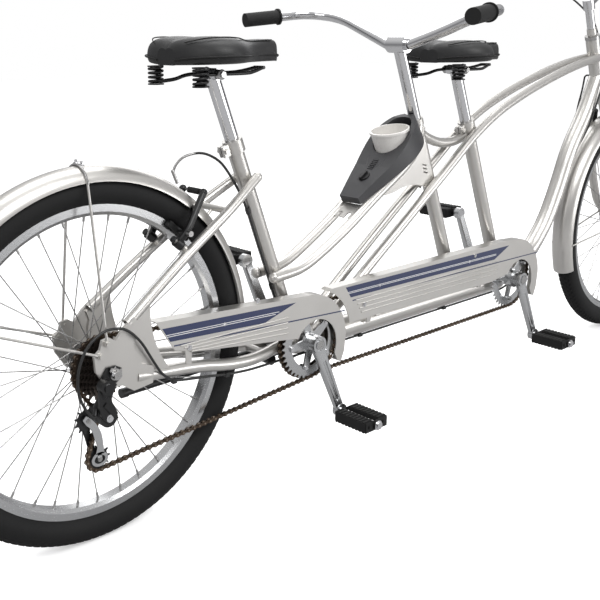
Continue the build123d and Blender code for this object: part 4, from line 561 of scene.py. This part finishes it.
two_tone("stoker_chainrings", (ALLOY, COG), [(1, lambda x, y, z, n: y > -46.0)])
two_tone("captain_chainring", (ALLOY,), [])
two_tone("rear_axle", (STEEL, BLACK_ALLOY), [
    (1, lambda x, y, z, n: -77.2 < y < -70.5 and math.hypot(x, z) > 11),
])
for who, (bx, bz) in (("stoker", STOKER), ("captain", CAPTAIN)):
    for name, s in (("right", 1), ("left", -1)):
        ex = bx + s * CRANK * math.cos(math.radians(CRANK_ANGLE))
        ez = bz + s * CRANK * math.sin(math.radians(CRANK_ANGLE))
        two_tone(f"{who}_pedal_{name}", (RUBBER, CHROME), [
            (1, lambda x, y, z, n, ex=ex, ez=ez: math.hypot(x - ex, z - ez) < 9.5),
        ])
    two_tone(f"{who}_crankset", (ALLOY, STEEL), [
        (1, lambda x, y, z, n, bx=bx, bz=bz: math.hypot(x - bx, z - bz) < 9),
    ])
two_tone("rear_brake_cable", (HOUSING, STEEL), [
    (1, lambda x, y, z, n: z > 275 and x < 262 and y > 22),
])
for side in ("right", "left"):
    for end, centre in (("rear", 0), ("front", FRONT_X)):
        two_tone(f"{end}_brake_arm_{side}", (BLACK_ALLOY, RUBBER, STEEL), [
            (1, lambda x, y, z, n, cx=centre: abs(y) < 26.5 and math.hypot(x - cx, z) < 284),
            (2, lambda x, y, z, n, cx=centre: abs(y) > 53.5 and math.hypot(x - cx, z) < 290),
        ])

# ---- saddles -----------------------------------------------------------------------------
# Distance from the back edge, half width and height of the pad.
SADDLE_STATIONS = (
    (2, 26, 30), (9, 62, 42), (30, 101, 49), (62, 119, 51), (98, 112, 49), (132, 80, 45), (166, 50, 42),
    (204, 32, 42), (238, 24, 43), (257, 15, 40), (263, 7, 32),
)


def saddle(name, head, body, node):
    """Crowned vinyl pad with a skirt, a shallow channel, piping, rails and coil springs."""
    x0, z0 = head[0] - 105, head[1] + 18
    ring = len(SADDLE_STATIONS)
    verts, faces = [], []
    profile = (
        (0.86, -0.0), (0.96, 0.10), (1.0, 0.28), (0.985, 0.52), (0.9, 0.78),
        (0.7, 0.93), (0.42, 1.0), (0.16, 0.99), (0.0, 0.93),
    )
    section = [(-u, v) for u, v in profile] + [(u, v) for u, v in reversed(profile[:-1])]
    m = len(section)
    for x, half, top in SADDLE_STATIONS:
        sink = 5.0 if 60 < x < 215 else 1.5
        for u, v in section:
            dip = sink * max(0.0, 1 - abs(u) * 3.2) * v
            verts.append((x0 + x, u * half, z0 + 1 + v * top - dip))
    for k in range(ring - 1):
        for j in range(m - 1):
            faces.append((k * m + j, k * m + j + 1, (k + 1) * m + j + 1, (k + 1) * m + j))
        faces.append(((k + 1) * m, (k + 1) * m + m - 1, k * m + m - 1, k * m))
    faces.append(tuple(range(m)))
    faces.append(tuple(range((ring - 1) * m + m - 1, (ring - 1) * m - 1, -1)))
    pad = piece(name, verts, faces, VINYL, body, 60)
    for poly in pad.data.polygons:
        poly.use_smooth = True
    mod = pad.modifiers.new("round", "SUBSURF")
    mod.levels = mod.render_levels = 2
    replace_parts(pad, node)
    edge = [(x0 + x, -h * 0.985, z0 + 1 + 0.3 * top) for x, h, top in SADDLE_STATIONS]
    edge += [(x0 + x, h * 0.985, z0 + 1 + 0.3 * top) for x, h, top in reversed(SADDLE_STATIONS)]
    soup = Soup()
    soup.tube(curve_points(edge, 5), 2.1, 10)
    seam = [(x0 + x, -h * 0.74, z0 + 1 + 0.935 * top) for x, h, top in SADDLE_STATIONS[1:-2]]
    for sign in (-1, 1):
        soup.tube(curve_points([(x, sign * y, z) for x, y, z in seam], 5), 1.2, 8)
    soup.make(name + "_piping", RUBBER, body, 60)
    metal = Soup()
    hx, hz = head
    for sign in (-1, 1):
        rail = [
            (hx + 118, sign * 10, hz + 8), (hx + 88, sign * 18, hz + 2), (hx + 60, sign * 24, hz),
            (hx - 30, sign * 24, hz), (hx - 56, sign * 38, hz - 8), (hx - 78, sign * 56, hz - 12),
        ]
        metal.tube(curve_points(rail, 8), 3.5, 12)
        coil = []
        for k in range(113):
            a = 2 * math.pi * k / 28
            u, v = 12.4 * math.cos(a), 12.4 * math.sin(a)
            coil.append((hx - 78 + u, sign * 66 + v, hz - 15 + 30 * k / 112))
        metal.tube(coil, 2.5, 10)
        for z in (hz - 18, hz + 14):
            disc = round_outline(0, 0, 15)
            metal.prism(disc, 0, 2.4, lambda u, v, h: (hx - 78 + u, sign * 66 + v, z + h))
    metal.tube([(hx + 118, -14, hz + 8), (hx + 118, 14, hz + 8)], 3.5, 12)
    metal.make(name + "_frame", BLACK_ALLOY, body, 40)
    clamp = Soup()
    for sign in (-1, 1):
        washer = [(hx, sign * y, hz) for y in (20.5, 22, 30, 31)]
        clamp.tube(washer, [8.0, 9.5, 9.5, 8.0], 24)
        clamp.tube([(hx, sign * 31, hz), (hx, sign * 36, hz)], 6, 6)
    clamp.make(name + "_clamp", STEEL, body, 40)


saddle("stoker_pad", (282.1, 491.0), "stoker_seat", "stoker_saddle")
saddle("captain_pad", (1020.5, 472.7), "captain_seat", "captain_saddle")

# ---- derailleur details ------------------------------------------------------------------


def plate_on(soup, outline, y_in, y_out):
    """A flat part in the XZ plane between two places along Y."""
    soup.prism(outline, -y_in, -y_out, lambda u, v, h: (u, -h, v))


def limb(points, widths):
    """Outline of a tapering curved arm through these points."""
    mid = curve_points([(x, 0, z) for x, z in points], 8)
    n = len(mid)
    left, rightside = [], []
    for k, p in enumerate(mid):
        t = (mid[min(k + 1, n - 1)] - mid[max(k - 1, 0)]).normalized()
        pos = k / (n - 1) * (len(widths) - 1)
        i = min(int(pos), len(widths) - 2)
        w = widths[i] + (widths[i + 1] - widths[i]) * (pos - i)
        left.append((p.x - t.z * w, p.z + t.x * w))
        rightside.append((p.x + t.z * w, p.z - t.x * w))
    return left + rightside[::-1]


OUT, IN = LOW_COG_Y - 7.0, LOW_COG_Y - 5.2
silver = Soup()
outer_arm = [(-42, -82), (-34, -92), (-24, -104), (-17, -122), (-13, -142), (-14, -158)]
plate_on(silver, limb(outer_arm, [5, 7, 6.5, 8, 6, 9]), IN, OUT)


def on_loop(angle, half_x, half_z):
    """A point of the oval loop round the tension pulley's bolt."""
    return TENSION[0] + half_x * math.cos(angle), TENSION[1] + half_z * math.sin(angle)


for k in range(36):
    a, b = (2 * math.pi * j / 36 for j in (k, k + 1))
    ring = [on_loop(a, 17, 13.5), on_loop(b, 17, 13.5), on_loop(b, 11, 8), on_loop(a, 11, 8)]
    plate_on(silver, ring, IN, OUT)
plate_on(silver, limb([(-15, -156), (-15, -168)], [4, 5]), IN, OUT)
cage_out = silver.make("cage_outer_plate", ALLOY, "derailleur_cage")
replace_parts(cage_out, "derailleur_cage")
dark = Soup()
inner_arm = [(-44, -84), (-36, -100), (-30, -125), (-24, -150), (-24, -176), (-8, -180)]
plate_on(dark, limb(inner_arm, [6, 9, 6, 7, 6, 5]), LOW_COG_Y + 7.0, LOW_COG_Y + 5.2)
plate_on(dark, round_outline(*CAGE_PIVOT, 12.5), -34.5, -53.5)
# Each tooth's corners: a share of the tooth's turn, and the distance from the pitch circle.
TOOTH = ((-0.5, -3.4), (-0.18, -2.4), (-0.07, 2.6), (0.07, 2.6), (0.18, -2.4))
for cx, cz in (GUIDE, TENSION):
    teeth = []
    for k in range(11):
        for da, rise in TOOTH:
            r = PULLEY + rise
            a = 2 * math.pi * (k + da) / 11
            teeth.append((cx + r * math.cos(a), cz + r * math.sin(a)))
    plate_on(dark, teeth, LOW_COG_Y + 1.1, LOW_COG_Y - 1.1)
    plate_on(dark, round_outline(cx, cz, 8.2), LOW_COG_Y + 4.2, LOW_COG_Y - 4.2)
dark.make("cage_inner_plate", PLASTIC, "derailleur_cage")
bolts = Soup()
for cx, cz in (GUIDE, TENSION):
    plate_on(bolts, round_outline(cx, cz, 4.6, 24), LOW_COG_Y + 8.4, LOW_COG_Y - 8.2)
    plate_on(bolts, round_outline(cx, cz, 2.4, 6), LOW_COG_Y - 8.2, LOW_COG_Y - 9.0)
bolts.make("cage_bolts", STEEL, "derailleur_cage")
trim = Soup()
plate_on(trim, round_outline(*CAGE_PIVOT, 7.0), -84, -85.6)
plate_on(trim, round_outline(*CAGE_PIVOT, 3.4, 6), -85.6, -86.4)
plate_on(trim, round_outline(-26, -12, 6.2), -86, -91.5)
plate_on(trim, round_outline(-8, 4, 3.6), -79, -82.2)
trim.make("derailleur_bolts", CHROME, "frame")
shell = Soup()
body_line = [(-14, -6), (-24, -20), (-28, -40), (-24, -58), (-14, -74)]
plate_on(shell, limb(body_line, [13, 15, 12, 15, 12]), -79, -84.5)
plate_on(shell, limb([(-30, -44), (-16, -60), (-8, -76)], [4, 6, 3]), -84.5, -87)
shell.make("derailleur_shell", BLACK_ALLOY, "frame", 50)

# ---- fender wire, screws, ring bolts, brake boots ----------------------------------------
wire = Soup()


def over_fender(angle, turn, radius):
    """A point on a circle round the rear fender's arched section."""
    a, t = math.radians(angle), math.radians(turn)
    r = FENDER_ARCH_R + radius * math.cos(t)
    return Vector((r * math.cos(a), radius * math.sin(t), r * math.sin(a)))


wire.tube([over_fender(92, t, 34.0) for t in range(-84, 85, 6)], 2.2, 10)
wire.make("rear_fender_wire", STEEL, "frame")
clip = Soup()
for turn in (-13, 13):
    low, high = over_fender(91.2, turn, 33.5), over_fender(91.2, turn, 37.5)
    clip.tube([low, high], 5.2, 6)
    clip.tube([high, over_fender(91.2, turn, 42.0)], 2.4, 14)
clip.tube([over_fender(91.2, t, 33.2) for t in range(-22, 23, 4)], 4.4, 8)
clip.make("rear_fender_clip", CHROME, "frame")

screws = Soup()
for x, z in ((170, 4), (338, 60), (650, -12), (1050, 30)):
    plate_on(screws, round_outline(x, z, 5.2, 24), FACE_Y - 0.2, FACE_Y - 1.9)
    plate_on(screws, round_outline(x, z, 3.2, 6), FACE_Y - 1.9, FACE_Y - 2.9)
screws.make("guard_screws", CHROME, "frame")
for who, (bx, bz) in (("stoker", STOKER), ("captain", CAPTAIN)):
    bolts = Soup()
    for k in range(5):
        a = math.radians(CRANK_ANGLE + 36 + 72 * k)
        x, z = bx + RING_BOLT_R * math.cos(a), bz + RING_BOLT_R * math.sin(a)
        plate_on(bolts, round_outline(x, z, 4.8, 20), DRIVE_Y - 4.4, DRIVE_Y - 5.6)
        plate_on(bolts, round_outline(x, z, 2.3, 6), DRIVE_Y - 5.6, DRIVE_Y - 6.0)
    bolts.make(who + "_ring_bolts", CHROME, who + "_cranks")

boot = Soup()
steps = 15
folds = [4.6 if k % 2 else 6.0 for k in range(steps)]
boot.tube([(234, 12 - 2.3 * k, 280.8) for k in range(steps)], folds, 18)
boot.make("rear_brake_boot", RUBBER, "frame", 60)
